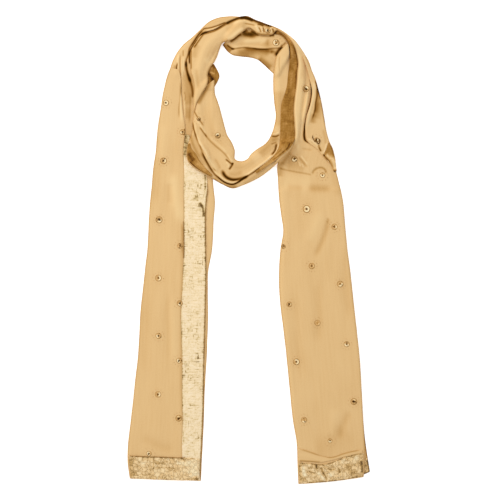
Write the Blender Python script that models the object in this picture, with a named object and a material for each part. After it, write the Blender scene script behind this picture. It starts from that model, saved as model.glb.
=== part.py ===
"""A long stole of sheer cloth with a metallic border, folded lengthwise, looped once and laid flat.

The tables are in millimetres and the meshes in metres. +Z is up, +X is to the right of the laid
stole, and +Y runs from its hanging ends towards the neck loop. The origin is at the middle of the
outline, on the surface that the stole lies on.

Each stretch that shows is one rounded solid for its stack of folded plies. It is a loft through
rows of sections, and its underside rests on the stretches laid before it.
"""

from collections import namedtuple

import bpy
import numpy as np

# Driving dimensions, in millimetres.
PLY_STACK = 2.0          # a tail's upper or lower plies, pressed flat
BORDER_STACK = 1.5       # border tissue with the cloth behind it
LOOP_STACK = 7.0         # bunched plies round the neck loop
CLEARANCE = 0.35         # space left between a piece and what it lies on
SEAM = 0.3               # half of the space between pieces that meet side by side
THINNEST = 0.9           # no wall is thinner than this
EDGE_SHARE = 0.35        # height of a side edge, as a share of the stack
EDGE_INSET = 0.7         # depth of the groove between the plies along a side edge
CELL = 1.0               # cell of the height maps
REACH_X = 215.0          # half sizes of the height maps
REACH_Y = 400.0
SAMPLES = 16             # points along each side of a mesh cell that a height map is read from
DRAPE_CELLS = 10         # half width of the window that softens a step in what lies beneath
EDGE_CROWDING = 0.6      # share of a section's points that crowd towards its side edges
SHARP_ANGLE = 0.7        # edges sharper than this, in radians, are shaded flat

MM = 0.001

CLOTH = ("stole_cloth", (0.745, 0.485, 0.220, 1.0), 0.75, 0.0)
BORDER = ("metallic_border", (0.890, 0.700, 0.400, 1.0), 0.35, 0.8)
REVERSE = ("border_reverse", (0.340, 0.170, 0.050, 1.0), 0.6, 0.3)

# A row for each section across a stretch: where its two side edges are, how thick the stack is,
# and how far the middle of the section runs ahead of the straight line between the edges.
Section = namedtuple("Section", "outer_x outer_y inner_x inner_y stack bow")

# A row for each section across the left tail: its outer edge, the seam of the long border, the
# border's free edge, and the edge of the plies that show beneath it.
TailRow = namedtuple("TailRow", "y left seam border under")

# A soft ridge (or, with a negative height, a trough) along a path of plan points.
Fold = namedtuple("Fold", "width height path")

LEFT_TAIL = [
    TailRow(261, -140, -112, -80, -82),
    TailRow(231, -145, -109, -78, -80),
    TailRow(201, -150, -105, -76, -77),
    TailRow(165, -153, -108, -74, -71),
    TailRow(132, -157.5, -107, -70, -62),
    TailRow(99, -160.5, -107.5, -68, -58),
    TailRow(78, -162.5, -107, -70.5, -56),
    TailRow(50, -164.5, -107, -71.5, -58),
    TailRow(0, -167, -107, -71, -61),
    TailRow(-33, -171, -108.5, -70.5, -67),
    TailRow(-66, -174.5, -110, -71, -68),
    TailRow(-99, -178, -112, -72, -67.5),
    TailRow(-148, -180.5, -111, -73, -68.5),
    TailRow(-181, -183, -110, -74, -70),
    TailRow(-214, -187, -110, -75, -72),
    TailRow(-247, -190.5, -110, -75, -73.5),
    TailRow(-280, -194, -108.5, -76, -74.5),
    TailRow(-322, -199, -109, -78, -76.5),
    TailRow(-352, -199.2, -107.5, -79.5, -78),
    TailRow(-380, -196.5, -106, -80.5, -79.5),
]

RIGHT_TAIL = [
    Section(57, 359, 56, 353, 1.2, 0),
    Section(73, 345.5, 67, 341.5, 2.2, 0),
    Section(81, 336, 74, 332, 3, 0),
    Section(91, 324, 78, 323, 3.5, 0),
    Section(99, 310, 79.5, 310, 4, 0),
    Section(105, 294, 80, 294, 4, 0),
    Section(111, 274, 79, 274, 4, 0),
    Section(117, 251, 76, 251, 4, 0),
    Section(122, 228, 74, 228, 4, 0),
    Section(126, 203, 74.5, 205, 3.5, 0),
    Section(132, 180, 73, 182, 3, 0),
    Section(140, 157, 60, 162, 2.5, 0),
    Section(143, 135, 49.5, 143, 2.2, 0),
    Section(147, 116, 50, 116, 2.2, 0),
    Section(154.5, 83, 51.5, 83, 2.2, 0),
    Section(157, 58, 53.5, 60, 2.2, 0),
    Section(159, 33, 57, 33, 2.2, 0),
    Section(162.5, 0, 52.5, 0, 2.2, 0),
    Section(167.5, -41, 50, -41, 2.2, 0),
    Section(172.5, -87, 52, -87, 2.2, 0),
    Section(177.5, -132, 57.5, -132, 2.2, 0),
    Section(182.5, -181, 63, -181, 2.2, 0),
    Section(185.5, -231, 68, -231, 2.2, 0),
    Section(188, -280, 73, -280, 2.2, 0),
    Section(190.5, -326, 80, -325, 2.2, 2),
    Section(191, -348, 80, -349, 2.2, 4),
    Section(190.5, -368, 82, -383.8, 2.2, 8.6),
]

RIGHT_TAIL_UNDER = [
    Section(145, 98, 57, 98, PLY_STACK, 0),
    Section(151, 70, 60, 70, PLY_STACK, 0),
    Section(156, 30, 64, 30, PLY_STACK, 0),
    Section(163, -30, 58, -30, PLY_STACK, 0),
    Section(170, -90, 60, -90, PLY_STACK, 0),
    Section(176, -150, 66, -150, PLY_STACK, 0),
    Section(181.5, -190, 70, -190, PLY_STACK, 0),
    Section(185, -231, 74, -231, PLY_STACK, 0),
    Section(187.5, -270, 78, -270, PLY_STACK, 0),
    Section(190.5, -305, 84, -305, PLY_STACK, 0),
    Section(195, -338, 88, -338, PLY_STACK, 0),
    Section(199.3, -365, 90, -372, PLY_STACK, 0),
]

LEFT_SHOULDER = [
    Section(-140, 262, -81, 262, 4.5, 0),
    Section(-135, 281, -80, 279, 5.5, 0),
    Section(-130, 297, -77, 293, 6.5, 0),
    Section(-125, 312, -74, 304, LOOP_STACK, 0),
    Section(-117, 327, -69, 315, LOOP_STACK, 0),
    Section(-107, 339, -64, 325, LOOP_STACK, 0),
    Section(-96, 348, -59, 333, LOOP_STACK, 0),
    Section(-82, 361, -54, 340, LOOP_STACK, 0),
    Section(-67, 375, -47, 346, LOOP_STACK, 0),
    Section(-51, 382.5, -38, 350, 6.5, 0),
    Section(-31, 385, -27, 353, 6, 0),
    Section(-15, 384.5, -18, 357, 5.5, 0),
]

LOOP_INNER = [
    Section(-9, 376, -42, 340, 4, 0),
    Section(-4, 375, -35, 332, 5, 0),
    Section(5, 373, -27, 324.5, 5.5, 0),
    Section(15, 370, -13, 321, 6, 0),
    Section(25, 364, 0, 319, 6, 0),
    Section(35, 360, 14, 316, 6, 0),
    Section(45, 354, 25, 308, 6, 0),
    Section(55, 345, 34, 298, 5.5, 0),
    Section(66, 331, 44, 289, 5, 0),
]

LOOP_RIGHT = [
    Section(73, 343, 60, 337, 4, 0),
    Section(79, 331, 53, 329, 5, 0),
    Section(86, 319, 46, 319, 6, 0),
    Section(89, 304, 43, 305, 6.5, 0),
    Section(89, 284, 41, 287, LOOP_STACK, 0),
    Section(87, 261, 41, 264, LOOP_STACK, 0),
    Section(84, 238, 44, 241, LOOP_STACK, 0),
    Section(82, 218, 45, 221, LOOP_STACK, 0),
    Section(80, 197, 42, 203, LOOP_STACK, 0),
    Section(75.1, 178.4, 35.6, 186.4, LOOP_STACK, 0),
]

LOOP_RIGHT_BORDER = [
    Section(70, 336, 66, 335, BORDER_STACK, 0),
    Section(78, 329, 66, 327, BORDER_STACK, 0),
    Section(84, 314, 67, 310, BORDER_STACK, 0),
    Section(86, 287, 65, 287, BORDER_STACK, 0),
    Section(84, 257, 60, 257, BORDER_STACK, 0),
    Section(81.5, 234, 53, 236, BORDER_STACK, 0),
    Section(80, 208, 51, 208, BORDER_STACK, 0),
    Section(75, 183, 51, 188, BORDER_STACK, 0),
]

LOOP_BOTTOM = [
    Section(75, 177.8, 35.5, 185.8, LOOP_STACK, 0),
    Section(68, 165, 31, 179, LOOP_STACK, 0),
    Section(48, 145, 25, 173, LOOP_STACK, 0),
    Section(32, 131, 15, 167, LOOP_STACK, 0),
    Section(13, 118, 5, 159, LOOP_STACK, 0),
    Section(-10, 107.5, -3, 149, LOOP_STACK, 0),
    Section(-27, 102.5, -13, 146, LOOP_STACK, 0),
    Section(-43.5, 109, -23.5, 150, LOOP_STACK, 0),
]

LOOP_BOTTOM_BORDER = [
    Section(74, 175, 53, 179, BORDER_STACK, 0),
    Section(66.5, 164.5, 51, 168, BORDER_STACK, 0),
    Section(48.5, 147, 41.5, 156, BORDER_STACK, 0),
    Section(30, 132, 25, 140, BORDER_STACK, 0),
    Section(12, 121, 8.5, 125.5, BORDER_STACK, 0),
]

LOOP_LEFT = [
    Section(-44.1, 109.2, -24.1, 150.2, LOOP_STACK, 0),
    Section(-61, 119, -24, 165, LOOP_STACK, 0),
    Section(-76, 127, -29, 178, LOOP_STACK, 0),
    Section(-89, 136, -36.5, 190, LOOP_STACK, 0),
    Section(-98.5, 147, -40, 201.5, LOOP_STACK, 0),
    Section(-100, 162, -43, 213, LOOP_STACK, 0),
    Section(-97, 178, -46, 224.5, LOOP_STACK, 0),
    Section(-93, 195, -49, 236, LOOP_STACK, 0),
    Section(-92, 213, -53, 248, 6.5, 0),
    Section(-89.5, 230, -56.5, 258, 6, 0),
    Section(-86, 248, -57, 269, 5, 0),
    Section(-80, 264, -57, 280, 4, 0),
]

LOOP_LEFT_BORDER = [
    Section(-62, 120.5, -57.5, 125.5, BORDER_STACK, 0),
    Section(-76, 128.5, -69, 135.5, BORDER_STACK, 0),
    Section(-88, 137, -79, 147, BORDER_STACK, 0),
    Section(-97.5, 147.5, -87, 157, BORDER_STACK, 0),
    Section(-99, 158, -94, 163, BORDER_STACK, 0),
    Section(-98.5, 167, -96, 168, BORDER_STACK, 0),
]

LOOP_FLAP = [
    Section(-66, 305, -58, 306.5, 3, 0),
    Section(-71, 297, -52.5, 297, 3.5, 0),
    Section(-72, 287, -49, 287, 4, 0),
    Section(-70, 277, -52, 278, 3.5, 0),
    Section(-67, 268, -57, 269.5, 3, 0),
]

LOOP_TOP = [
    Section(-92, 231, -89.5, 234.5, 3, 0),
    Section(-92, 243, -84, 246, 4, 0),
    Section(-92.5, 256, -76, 261, 4.5, 0),
    Section(-94.5, 271, -69, 272.5, 5, 0),
    Section(-99, 284, -66, 282, 5.5, 0),
    Section(-101, 297, -67.5, 292, 6, 0),
    Section(-99.5, 310.5, -64, 300.5, 6, 0),
    Section(-96, 325, -58, 309, 6, 0),
    Section(-90.5, 337.5, -52.5, 320, 6, 0),
    Section(-82, 348, -48.5, 332, 6, 0),
    Section(-71.5, 356.5, -42.5, 341, 6, 0),
    Section(-58, 361.5, -33, 344, 6, 0),
    Section(-47, 368, -24.5, 349, 6, 0),
    Section(-33.5, 377, -14.5, 352.5, 6, 0),
    Section(-18, 383, -3, 351, 6, 0),
    Section(-3, 386, 8.5, 351, 6, 0),
    Section(12, 380, 21.5, 352.5, 6, 0),
    Section(26.5, 372.5, 35, 353, 5.5, 0),
    Section(41.5, 366.5, 46.5, 351, 5, 0),
    Section(56, 359, 56, 345, 4.5, 0),
    Section(68.5, 348, 66, 335.5, 4, 0),
]

RIGHT_FLAP = [
    Section(94, 318, 89, 317, 1.5, 0),
    Section(104, 297, 96, 300, 1.8, 0),
    Section(111, 281, 101, 281, 2, 0),
    Section(116, 261, 103, 261, 2.2, 0),
    Section(121, 239, 100, 239, 2.2, 0),
    Section(125, 218, 94, 220, 2.2, 0),
    Section(129, 195, 92, 197, 2.2, 0),
    Section(134, 177, 98, 178, 2.2, 0),
    Section(138, 167, 112, 167, 2.2, 0),
    Section(141, 155, 122, 155, 2, 0),
    Section(142.5, 147, 132, 144, 1.8, 0),
]

RIGHT_EDGE_BORDER = [
    Section(132.5, 177, 131, 176, 1.2, 0),
    Section(138, 165, 129, 168, BORDER_STACK, 0),
    Section(141, 155, 126, 157, BORDER_STACK, 0),
    Section(143, 143, 134, 144, BORDER_STACK, 0),
    Section(144.5, 129, 141, 129, 1.2, 0),
]

RIGHT_END_BORDER = [
    Section(84, -383, 82, -348.5, BORDER_STACK, 0),
    Section(104, -385, 102, -349.5, BORDER_STACK, 0),
    Section(120, -385, 118, -351, BORDER_STACK, 0),
    Section(144, -382.5, 144, -346.5, BORDER_STACK, 0),
    Section(160, -379, 158, -341.5, BORDER_STACK, 0),
    Section(175, -374, 173, -337, BORDER_STACK, 0),
    Section(189.5, -367.5, 190, -331, BORDER_STACK, 0),
]

RIGHT_HEM = [
    Section(82, -347.5, 81.5, -327, 1.2, 0),
    Section(101, -348.5, 100, -331, 1.2, 0),
    Section(118, -349.5, 120, -339, 1.2, 0),
    Section(137, -346.5, 138, -342.5, 1.2, 0),
]

LEFT_END_BORDER = [
    Section(-195.5, -378.5, -198.5, -340, BORDER_STACK, 0),
    Section(-170, -378.5, -172, -340, BORDER_STACK, 0),
    Section(-140, -378.5, -140, -339.5, BORDER_STACK, 0),
    Section(-107.5, -378.5, -110, -338, BORDER_STACK, 0),
]

SHOULDER_FOLDS = [
    Fold(5, -2.2, [(-117, 312), (-119, 298), (-124, 280)]),
    Fold(7, 1.2, [(-108, 326), (-111, 300), (-118, 272)]),
    Fold(5, -1.5, [(-70, 370), (-84, 355), (-100, 338)]),
]
LEFT_TAIL_FOLDS = [
    Fold(9, 0.8, [(-125, 132), (-120, 83), (-110, 41)]),
    Fold(6, -0.6, [(-129, 104), (-128, 74)]),
    Fold(9, 0.6, [(-125, -82), (-124, -198)]),
]
RIGHT_TAIL_FOLDS = [
    Fold(6, -0.7, [(132, 53), (121, 17), (107, -13)]),
    Fold(9, -0.6, [(114, -49), (114, -157)]),
    Fold(8, -0.8, [(101, 104), (137, 104)]),
    Fold(7, -0.6, [(167, -264), (155, -289), (147, -313)]),
    Fold(5, 1.2, [(50, 137), (98, 128), (112, 137), (130, 134)]),
]
FLAP_FOLDS = [Fold(4, -1.0, [(109, 277), (111, 256), (104, 218)])]
LOOP_INNER_FOLDS = [
    Fold(6, 1.6, [(-15, 329), (2, 333), (22, 330), (45, 319)]),
    Fold(5, -1.8, [(-15, 341), (10, 343), (40, 336)]),
]
LOOP_RIGHT_FOLDS = [
    Fold(6, 1.6, [(51, 320), (48, 290), (49, 240), (47, 205)]),
    Fold(6, -1.6, [(66, 330), (60, 280), (55, 215)]),
]
LOOP_BOTTOM_FOLDS = [
    Fold(5, -2.6, [(-6, 117), (13, 132), (35, 149), (56, 168)]),
    Fold(6, 1.6, [(-14, 132), (8, 146), (28, 160)]),
]
LOOP_LEFT_FOLDS = [
    Fold(4, -2.2, [(-90, 206), (-81, 177), (-71, 155), (-57, 132)]),
    Fold(4, -1.8, [(-72, 172), (-56, 144), (-51, 132)]),
    Fold(5, -1.6, [(-81, 198), (-61, 177), (-44, 160)]),
    Fold(5, -1.5, [(-87, 223), (-72, 201)]),
    Fold(7, 1.2, [(-62, 240), (-58, 205), (-44, 176)]),
]
LOOP_TOP_FOLDS = [
    Fold(6, -3.5, [(-12, 357), (0, 359), (10, 357)]),
    Fold(5, -1.6, [(-11, 371), (2, 372), (12, 370)]),
    Fold(5, -1.8, [(-60, 352), (-80, 334), (-86, 305), (-84, 275)]),
    Fold(6, 1.4, [(-30, 366), (-52, 352), (-72, 330), (-78, 300)]),
    Fold(5, -1.8, [(28, 366), (40, 358)]),
]

# A row for each piece, in the order in which the stole is laid down.
Piece = namedtuple("Piece", "name rows stations columns rounding finish lies_on folds")


def tail_sections(near, far, stack, first=0, inset=0.0):
    """Sections between two of the left tail's named edges, from row first on."""
    rows = []
    for row in LEFT_TAIL[first:]:
        rows.append(Section(getattr(row, near) + inset, row.y, getattr(row, far) - SEAM, row.y,
                            stack, 0))
    return rows


PIECES = [
    Piece("left_tail_under", tail_sections("left", "under", PLY_STACK, inset=1.5), 34, 7, 3, CLOTH,
          [], []),
    Piece("left_tail", tail_sections("left", "seam", PLY_STACK), 38, 7, 3, CLOTH,
          ["left_tail_under"], LEFT_TAIL_FOLDS),
    Piece("left_border", tail_sections("seam", "border", BORDER_STACK, first=2, inset=SEAM), 34, 5,
          2, BORDER, ["left_tail_under"], []),
    Piece("left_end_border", LEFT_END_BORDER, 12, 5, 2, BORDER, ["left_tail"], []),
    Piece("left_shoulder", LEFT_SHOULDER, 20, 8, 14, CLOTH, [], SHOULDER_FOLDS),
    Piece("loop_inner", LOOP_INNER, 14, 9, 14, CLOTH, ["left_shoulder"], LOOP_INNER_FOLDS),
    Piece("loop_right", LOOP_RIGHT, 20, 8, 14, CLOTH, ["loop_inner"], LOOP_RIGHT_FOLDS),
    Piece("loop_right_border", LOOP_RIGHT_BORDER, 18, 5, 3, REVERSE, ["loop_right"], []),
    Piece("loop_flap", LOOP_FLAP, 8, 5, 5, REVERSE, ["left_shoulder"], []),
    Piece("loop_left", LOOP_LEFT, 20, 10, 14, CLOTH,
          ["left_tail_under", "left_tail", "left_border", "left_shoulder", "loop_flap"],
          LOOP_LEFT_FOLDS),
    Piece("loop_left_border", LOOP_LEFT_BORDER, 12, 4, 2, REVERSE, ["loop_left"], []),
    Piece("loop_top", LOOP_TOP, 36, 8, 11, CLOTH,
          ["left_tail_under", "left_tail", "left_shoulder", "loop_inner", "loop_right",
           "loop_right_border", "loop_flap", "loop_left"], LOOP_TOP_FOLDS),
    Piece("right_tail_under", RIGHT_TAIL_UNDER, 26, 7, 3, CLOTH, [], []),
    Piece("right_tail", RIGHT_TAIL, 62, 9, 4, CLOTH,
          ["right_tail_under", "loop_inner", "loop_right", "loop_right_border", "loop_top"],
          RIGHT_TAIL_FOLDS),
    Piece("right_flap", RIGHT_FLAP, 20, 6, 3, CLOTH, ["right_tail"], FLAP_FOLDS),
    Piece("right_edge_border", RIGHT_EDGE_BORDER, 9, 4, 2, BORDER, ["right_tail", "right_flap"], []),
    Piece("right_end_border", RIGHT_END_BORDER, 16, 5, 2, BORDER, ["right_tail"], []),
    Piece("right_hem", RIGHT_HEM, 10, 4, 2, CLOTH, ["right_tail"], []),
    Piece("loop_bottom", LOOP_BOTTOM, 18, 9, 14, CLOTH,
          ["left_tail_under", "left_tail", "left_border", "right_tail_under", "right_tail",
           "right_flap"], LOOP_BOTTOM_FOLDS),
    Piece("loop_bottom_border", LOOP_BOTTOM_BORDER, 14, 4, 2, REVERSE, ["loop_bottom"], []),
]


def through_rows(rows, stations):
    """Smooth curves through every column of a table, read at even steps along its middle line."""
    table = np.array(rows, dtype=float)
    middle = (table[:, 0:2] + table[:, 2:4]) / 2
    steps = np.linalg.norm(np.diff(middle, axis=0), axis=1)
    knots = np.concatenate([[0.0], np.cumsum(np.maximum(steps, 1.0))])
    slopes = np.gradient(table, knots, axis=0)
    at = np.linspace(0.0, knots[-1], stations)
    i = np.clip(np.searchsorted(knots, at, side="right") - 1, 0, len(knots) - 2)
    span = (knots[i + 1] - knots[i])[:, None]
    t = (at - knots[i])[:, None] / span
    return ((2 * t**3 - 3 * t**2 + 1) * table[i] + (t**3 - 2 * t**2 + t) * span * slopes[i]
            + (3 * t**2 - 2 * t**3) * table[i + 1] + (t**3 - t**2) * span * slopes[i + 1])


def plan_grid(sections, columns):
    """Plan points of a stretch, one row of them for each section, closer near the side edges."""
    share = (1 - np.cos(np.linspace(0, np.pi, columns))) / 2
    share = EDGE_CROWDING * share + (1 - EDGE_CROWDING) * np.linspace(0, 1, columns)
    outer = sections[:, None, 0:2]
    inner = sections[:, None, 2:4]
    u = share[None, :, None]
    ahead = np.gradient((sections[:, 0:2] + sections[:, 2:4]) / 2, axis=0)
    ahead /= np.linalg.norm(ahead, axis=1, keepdims=True)
    bow = sections[:, None, 5:6] * 4 * u * (1 - u)
    return outer * (1 - u) + inner * u + bow * ahead[:, None, :], share


def stack_height(sections, share, rounding):
    """Height of the stack of plies, with its side edges rounded off over the given distance."""
    width = np.linalg.norm(sections[:, 0:2] - sections[:, 2:4], axis=1)
    in_from_edge = np.minimum(share, 1 - share)[None, :] * width[:, None]
    reach = np.minimum(rounding, width / 2)[:, None]
    rise = np.sqrt(1 - (1 - np.clip(in_from_edge / reach, 0, 1)) ** 2)
    return sections[:, 4:5] * (EDGE_SHARE + (1 - EDGE_SHARE) * rise)


def fold_height(plan, folds):
    """Sum of the soft ridges and troughs at each plan point."""
    total = np.zeros(plan.shape[:2])
    for fold in folds:
        path = np.array(fold.path, dtype=float)
        nearest = np.full(plan.shape[:2], np.inf)
        for start, end in zip(path[:-1], path[1:]):
            along = end - start
            t = np.clip(((plan - start) @ along) / (along @ along), 0, 1)
            away = np.linalg.norm(plan - start - t[..., None] * along, axis=-1)
            nearest = np.minimum(nearest, away)
        total += fold.height * np.exp(-((nearest / fold.width) ** 2))
    return total


def triangle_points(grid):
    """Points spread over both triangles of every cell of a grid."""
    steps = np.linspace(0, 1, SAMPLES)
    s, t = np.meshgrid(steps, steps, indexing="ij")
    s, t = s[None, None, ..., None], t[None, None, ..., None]
    a, b = grid[:-1, :-1, None, None], grid[1:, :-1, None, None]
    c, d = grid[1:, 1:, None, None], grid[:-1, 1:, None, None]
    return np.where(s >= t, a + s * (b - a) + t * (c - b), a + t * (d - a) + s * (c - d))


def cells_of(points):
    """Indices of the height map's cells that hold the points."""
    column = np.rint((points[..., 0] + REACH_X) / CELL).astype(int)
    row = np.rint((points[..., 1] + REACH_Y) / CELL).astype(int)
    return column, row


def spread(heights):
    """Each cell takes the greatest height among itself and the cells around it."""
    for axis in (0, 1):
        beside = np.maximum(np.roll(heights, 1, axis=axis), np.roll(heights, -1, axis=axis))
        heights = np.maximum(heights, beside)
    return heights


def soften(heights):
    """The height map averaged twice over a square window, so cloth drapes over a step."""
    window = range(-DRAPE_CELLS, DRAPE_CELLS + 1)
    for axis in (0, 1, 0, 1):
        heights = sum(np.roll(heights, step, axis=axis) for step in window) / len(window)
    return heights


def bare_surface():
    """Height map with nothing on it."""
    return np.zeros((int(2 * REACH_X / CELL) + 1, int(2 * REACH_Y / CELL) + 1))


def height_map(top):
    """Height map of a top surface, zero where the piece isn't."""
    heights = bare_surface()
    points = triangle_points(top)
    column, row = cells_of(points)
    np.maximum.at(heights, (column, row), points[..., 2])
    return spread(heights)


def resting_height(plan, ground):
    """Height that clears the ground all over the cells that meet at each plan point."""
    column, row = cells_of(triangle_points(plan))
    cell_top = ground[column, row].max(axis=(2, 3))
    height = np.zeros(plan.shape[:2])
    for i in (0, 1):
        for j in (0, 1):
            part = height[i:i + cell_top.shape[0], j:j + cell_top.shape[1]]
            np.maximum(part, cell_top, out=part)
    return np.where(height > 0, height + CLEARANCE, 0.0)


def loft(top, under):
    """Vertices and triangles of a closed solid between two grids, grooved along its sides."""
    stations, columns = top.shape[:2]
    across = top[:, -1] - top[:, 0]
    across[:, 2] = 0
    across /= np.linalg.norm(across, axis=1, keepdims=True)
    far_groove = (top[:, -1] + under[:, -1]) / 2 - EDGE_INSET * across
    near_groove = (top[:, 0] + under[:, 0]) / 2 + EDGE_INSET * across
    rings = np.concatenate(
        [top, far_groove[:, None], under[:, ::-1], near_groove[:, None]], axis=1)
    size = rings.shape[1]
    faces = []
    for i in range(stations - 1):
        for j in range(size):
            a, b = i * size + j, (i + 1) * size + j
            c, d = (i + 1) * size + (j + 1) % size, i * size + (j + 1) % size
            if columns <= j < 2 * columns + 1:
                faces += [(a, b, d), (b, c, d)]
            else:
                faces += [(a, b, c), (a, c, d)]
    for start, flip in ((0, False), ((stations - 1) * size, True)):
        cap = []
        for j in range(columns - 1):
            below = 2 * columns - j
            cap += [(j, j + 1, below - 1), (j, below - 1, below)]
        cap += [(columns - 1, columns, columns + 1), (0, 2 * columns, size - 1)]
        for a, b, c in cap:
            a, b, c = a + start, b + start, c + start
            faces.append((a, c, b) if flip else (a, b, c))
    return rings.reshape(-1, 3), faces


def make_material(finish):
    """The named Principled material, made once."""
    name, colour, roughness, metallic = finish
    material = bpy.data.materials.get(name)
    if material is None:
        material = bpy.data.materials.new(name)
        material.use_nodes = True
        shader = material.node_tree.nodes["Principled BSDF"]
        shader.inputs["Base Color"].default_value = colour
        shader.inputs["Roughness"].default_value = roughness
        shader.inputs["Metallic"].default_value = metallic
        material.diffuse_color = colour
    return material


def signed_volume(vertices, faces):
    """Volume inside the triangles, negative when they face inwards."""
    a, b, c = (vertices[[face[k] for face in faces]] for k in range(3))
    return float(np.einsum("ij,ij->i", a, np.cross(b, c)).sum()) / 6


def make_piece(piece, maps, collection):
    """One stretch of the stole, resting on the pieces named in its row."""
    sections = through_rows(piece.rows, piece.stations)
    plan, share = plan_grid(sections, piece.columns)
    ground = bare_surface()
    for name in piece.lies_on:
        ground = np.maximum(ground, maps[name])
    rest = resting_height(plan, ground)
    column, row = cells_of(plan)
    drape = np.maximum(soften(ground)[column, row], rest)
    height = drape + stack_height(sections, share, piece.rounding) + fold_height(plan, piece.folds)
    height = np.maximum(height, rest + THINNEST)
    top = np.concatenate([plan, height[..., None]], axis=-1)
    under = np.concatenate([plan, rest[..., None]], axis=-1)
    maps[piece.name] = height_map(top)
    vertices, faces = loft(top, under)
    if signed_volume(vertices, faces) < 0:
        faces = [(a, c, b) for a, b, c in faces]
    mesh = bpy.data.meshes.new(piece.name)
    mesh.from_pydata((vertices * MM).tolist(), [], faces)
    mesh.shade_smooth()
    mesh.set_sharp_from_angle(angle=SHARP_ANGLE)
    mesh.materials.append(make_material(piece.finish))
    collection.objects.link(bpy.data.objects.new(piece.name, mesh))


def main():
    """Lay the stole down piece by piece."""
    for thing in list(bpy.data.objects):
        bpy.data.objects.remove(thing, do_unlink=True)
    collection = bpy.data.collections.new("dupatta_stole")
    bpy.context.scene.collection.children.link(collection)
    maps = {}
    for piece in PIECES:
        make_piece(piece, maps, collection)


main()
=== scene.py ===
"""A semi-sheer dupatta stole with a gold tissue border, folded lengthwise, looped once and laid flat.

Tables are in millimetres and meshes in metres. +Z is up, +X is to the right of the laid stole and +Y
runs from its hanging ends towards the neck loop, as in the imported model. Each stretch of cloth is a
closed shell between a draped upper surface and what it lies on, with its plies showing as lips along
its edges. Stretches are laid down in the order in which they cross.
"""

import logging
import math
from collections.abc import Callable
from dataclasses import dataclass, field
from enum import Enum
from typing import NamedTuple

import bpy
import numpy as np
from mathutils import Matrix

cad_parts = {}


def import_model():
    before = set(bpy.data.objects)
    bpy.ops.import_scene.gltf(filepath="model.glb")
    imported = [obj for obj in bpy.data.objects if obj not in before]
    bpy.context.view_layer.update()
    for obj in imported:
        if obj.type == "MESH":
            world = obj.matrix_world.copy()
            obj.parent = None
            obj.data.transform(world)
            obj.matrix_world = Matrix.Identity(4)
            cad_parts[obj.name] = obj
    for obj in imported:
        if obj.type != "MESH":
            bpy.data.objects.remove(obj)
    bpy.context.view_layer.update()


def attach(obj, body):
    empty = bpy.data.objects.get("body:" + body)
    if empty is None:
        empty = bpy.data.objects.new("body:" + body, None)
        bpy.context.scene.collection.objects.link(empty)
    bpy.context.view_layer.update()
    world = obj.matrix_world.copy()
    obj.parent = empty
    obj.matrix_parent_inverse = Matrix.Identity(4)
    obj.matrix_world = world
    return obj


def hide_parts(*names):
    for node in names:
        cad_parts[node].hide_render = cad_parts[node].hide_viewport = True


MM = 0.001               # metres in a millimetre
BODY = "root"            # the stole is one body
WAVE = 0.314159          # scale of a wave texture whose waves are a metre long
LOG = logging.getLogger("dupatta_stole")

Array = np.ndarray
Point = tuple[float, float]
Path = tuple[Point, ...]
Names = tuple[str, ...]
Shades = tuple[tuple[float, str], ...]   # places on a colour ramp, from 0 to 1, and sRGB hex colours
Pair = tuple[Array, Array]
Socket = bpy.types.NodeSocket
Material = bpy.types.Material
Thing = bpy.types.Object


# ---- small mathematics

def linear(colour: str) -> tuple[float, float, float, float]:
    """Turn an sRGB hex colour into the linear colour that a shader takes.

    Args:
        colour: six hex digits, with or without a leading #.

    Returns:
        Linear red, green, blue and an alpha of 1.
    """
    digits = colour.lstrip("#")
    values = [int(digits[i:i + 2], 16) / 255 for i in (0, 2, 4)]
    red, green, blue = (v / 12.92 if v <= 0.04045 else ((v + 0.055) / 1.055) ** 2.4 for v in values)
    return red, green, blue, 1.0


def ease(share: Array) -> Array:
    """Ease from 0 to 1: three times the square less twice the cube, held outside 0 to 1."""
    held = np.clip(share, 0.0, 1.0)
    return held * held * (3 - 2 * held)


def bell(distance: Array, width: float) -> Array:
    """Bell curve of a distance: e to the power of minus the square of distance over width."""
    return np.exp(-((distance / width) ** 2))


def soft_noise(across: Array, along: Array, cell: Point, seed: int) -> Array:
    """Smooth random relief: lattice values from -1 to 1, eased into one another.

    Args:
        across: coordinate across the cloth, in millimetres.
        along: coordinate along the cloth, in millimetres.
        cell: size of a lattice cell across and along, in millimetres.
        seed: seed of the lattice.

    Returns:
        One value for each point.
    """
    lattice = np.random.default_rng(seed).uniform(-1, 1, (61, 257))
    x, y = across / cell[0] + 29.3, along / cell[1] + 5.7
    column, row = np.floor(x).astype(int), np.floor(y).astype(int)
    s, t = ease(x - column), ease(y - row)

    def value(right: int, up: int) -> Array:
        """Lattice value at a corner of each point's cell."""
        return lattice[(column + right) % lattice.shape[0], (row + up) % lattice.shape[1]]

    near = value(0, 0) * (1 - s) + value(1, 0) * s
    far = value(0, 1) * (1 - s) + value(1, 1) * s
    return near * (1 - t) + far * t


def cubic(t: Array, start: Array, leaving: Array, end: Array, arriving: Array) -> Array:
    """Cubic from a start to an end, with a slope at each, at the shares t of the way."""
    return ((2 * t**3 - 3 * t**2 + 1) * start + (t**3 - 2 * t**2 + t) * leaving
            + (3 * t**2 - 2 * t**3) * end + (t**3 - t**2) * arriving)


def smooth_path(path: Path, parts: int = 5) -> Array:
    """Curve through the points of a path, each span a cubic with slopes from its neighbours.

    Args:
        path: points in plan, in millimetres.
        parts: straight parts in each span.

    Returns:
        Points along the curve.
    """
    points = np.array(path, dtype=float)
    slopes = np.gradient(points, axis=0)
    t = np.linspace(0, 1, parts, endpoint=False)[:, None]
    spans = cubic(t, points[:-1, None], slopes[:-1, None], points[1:, None], slopes[1:, None])
    return np.concatenate([spans.reshape(-1, 2), points[-1:]])


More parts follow.
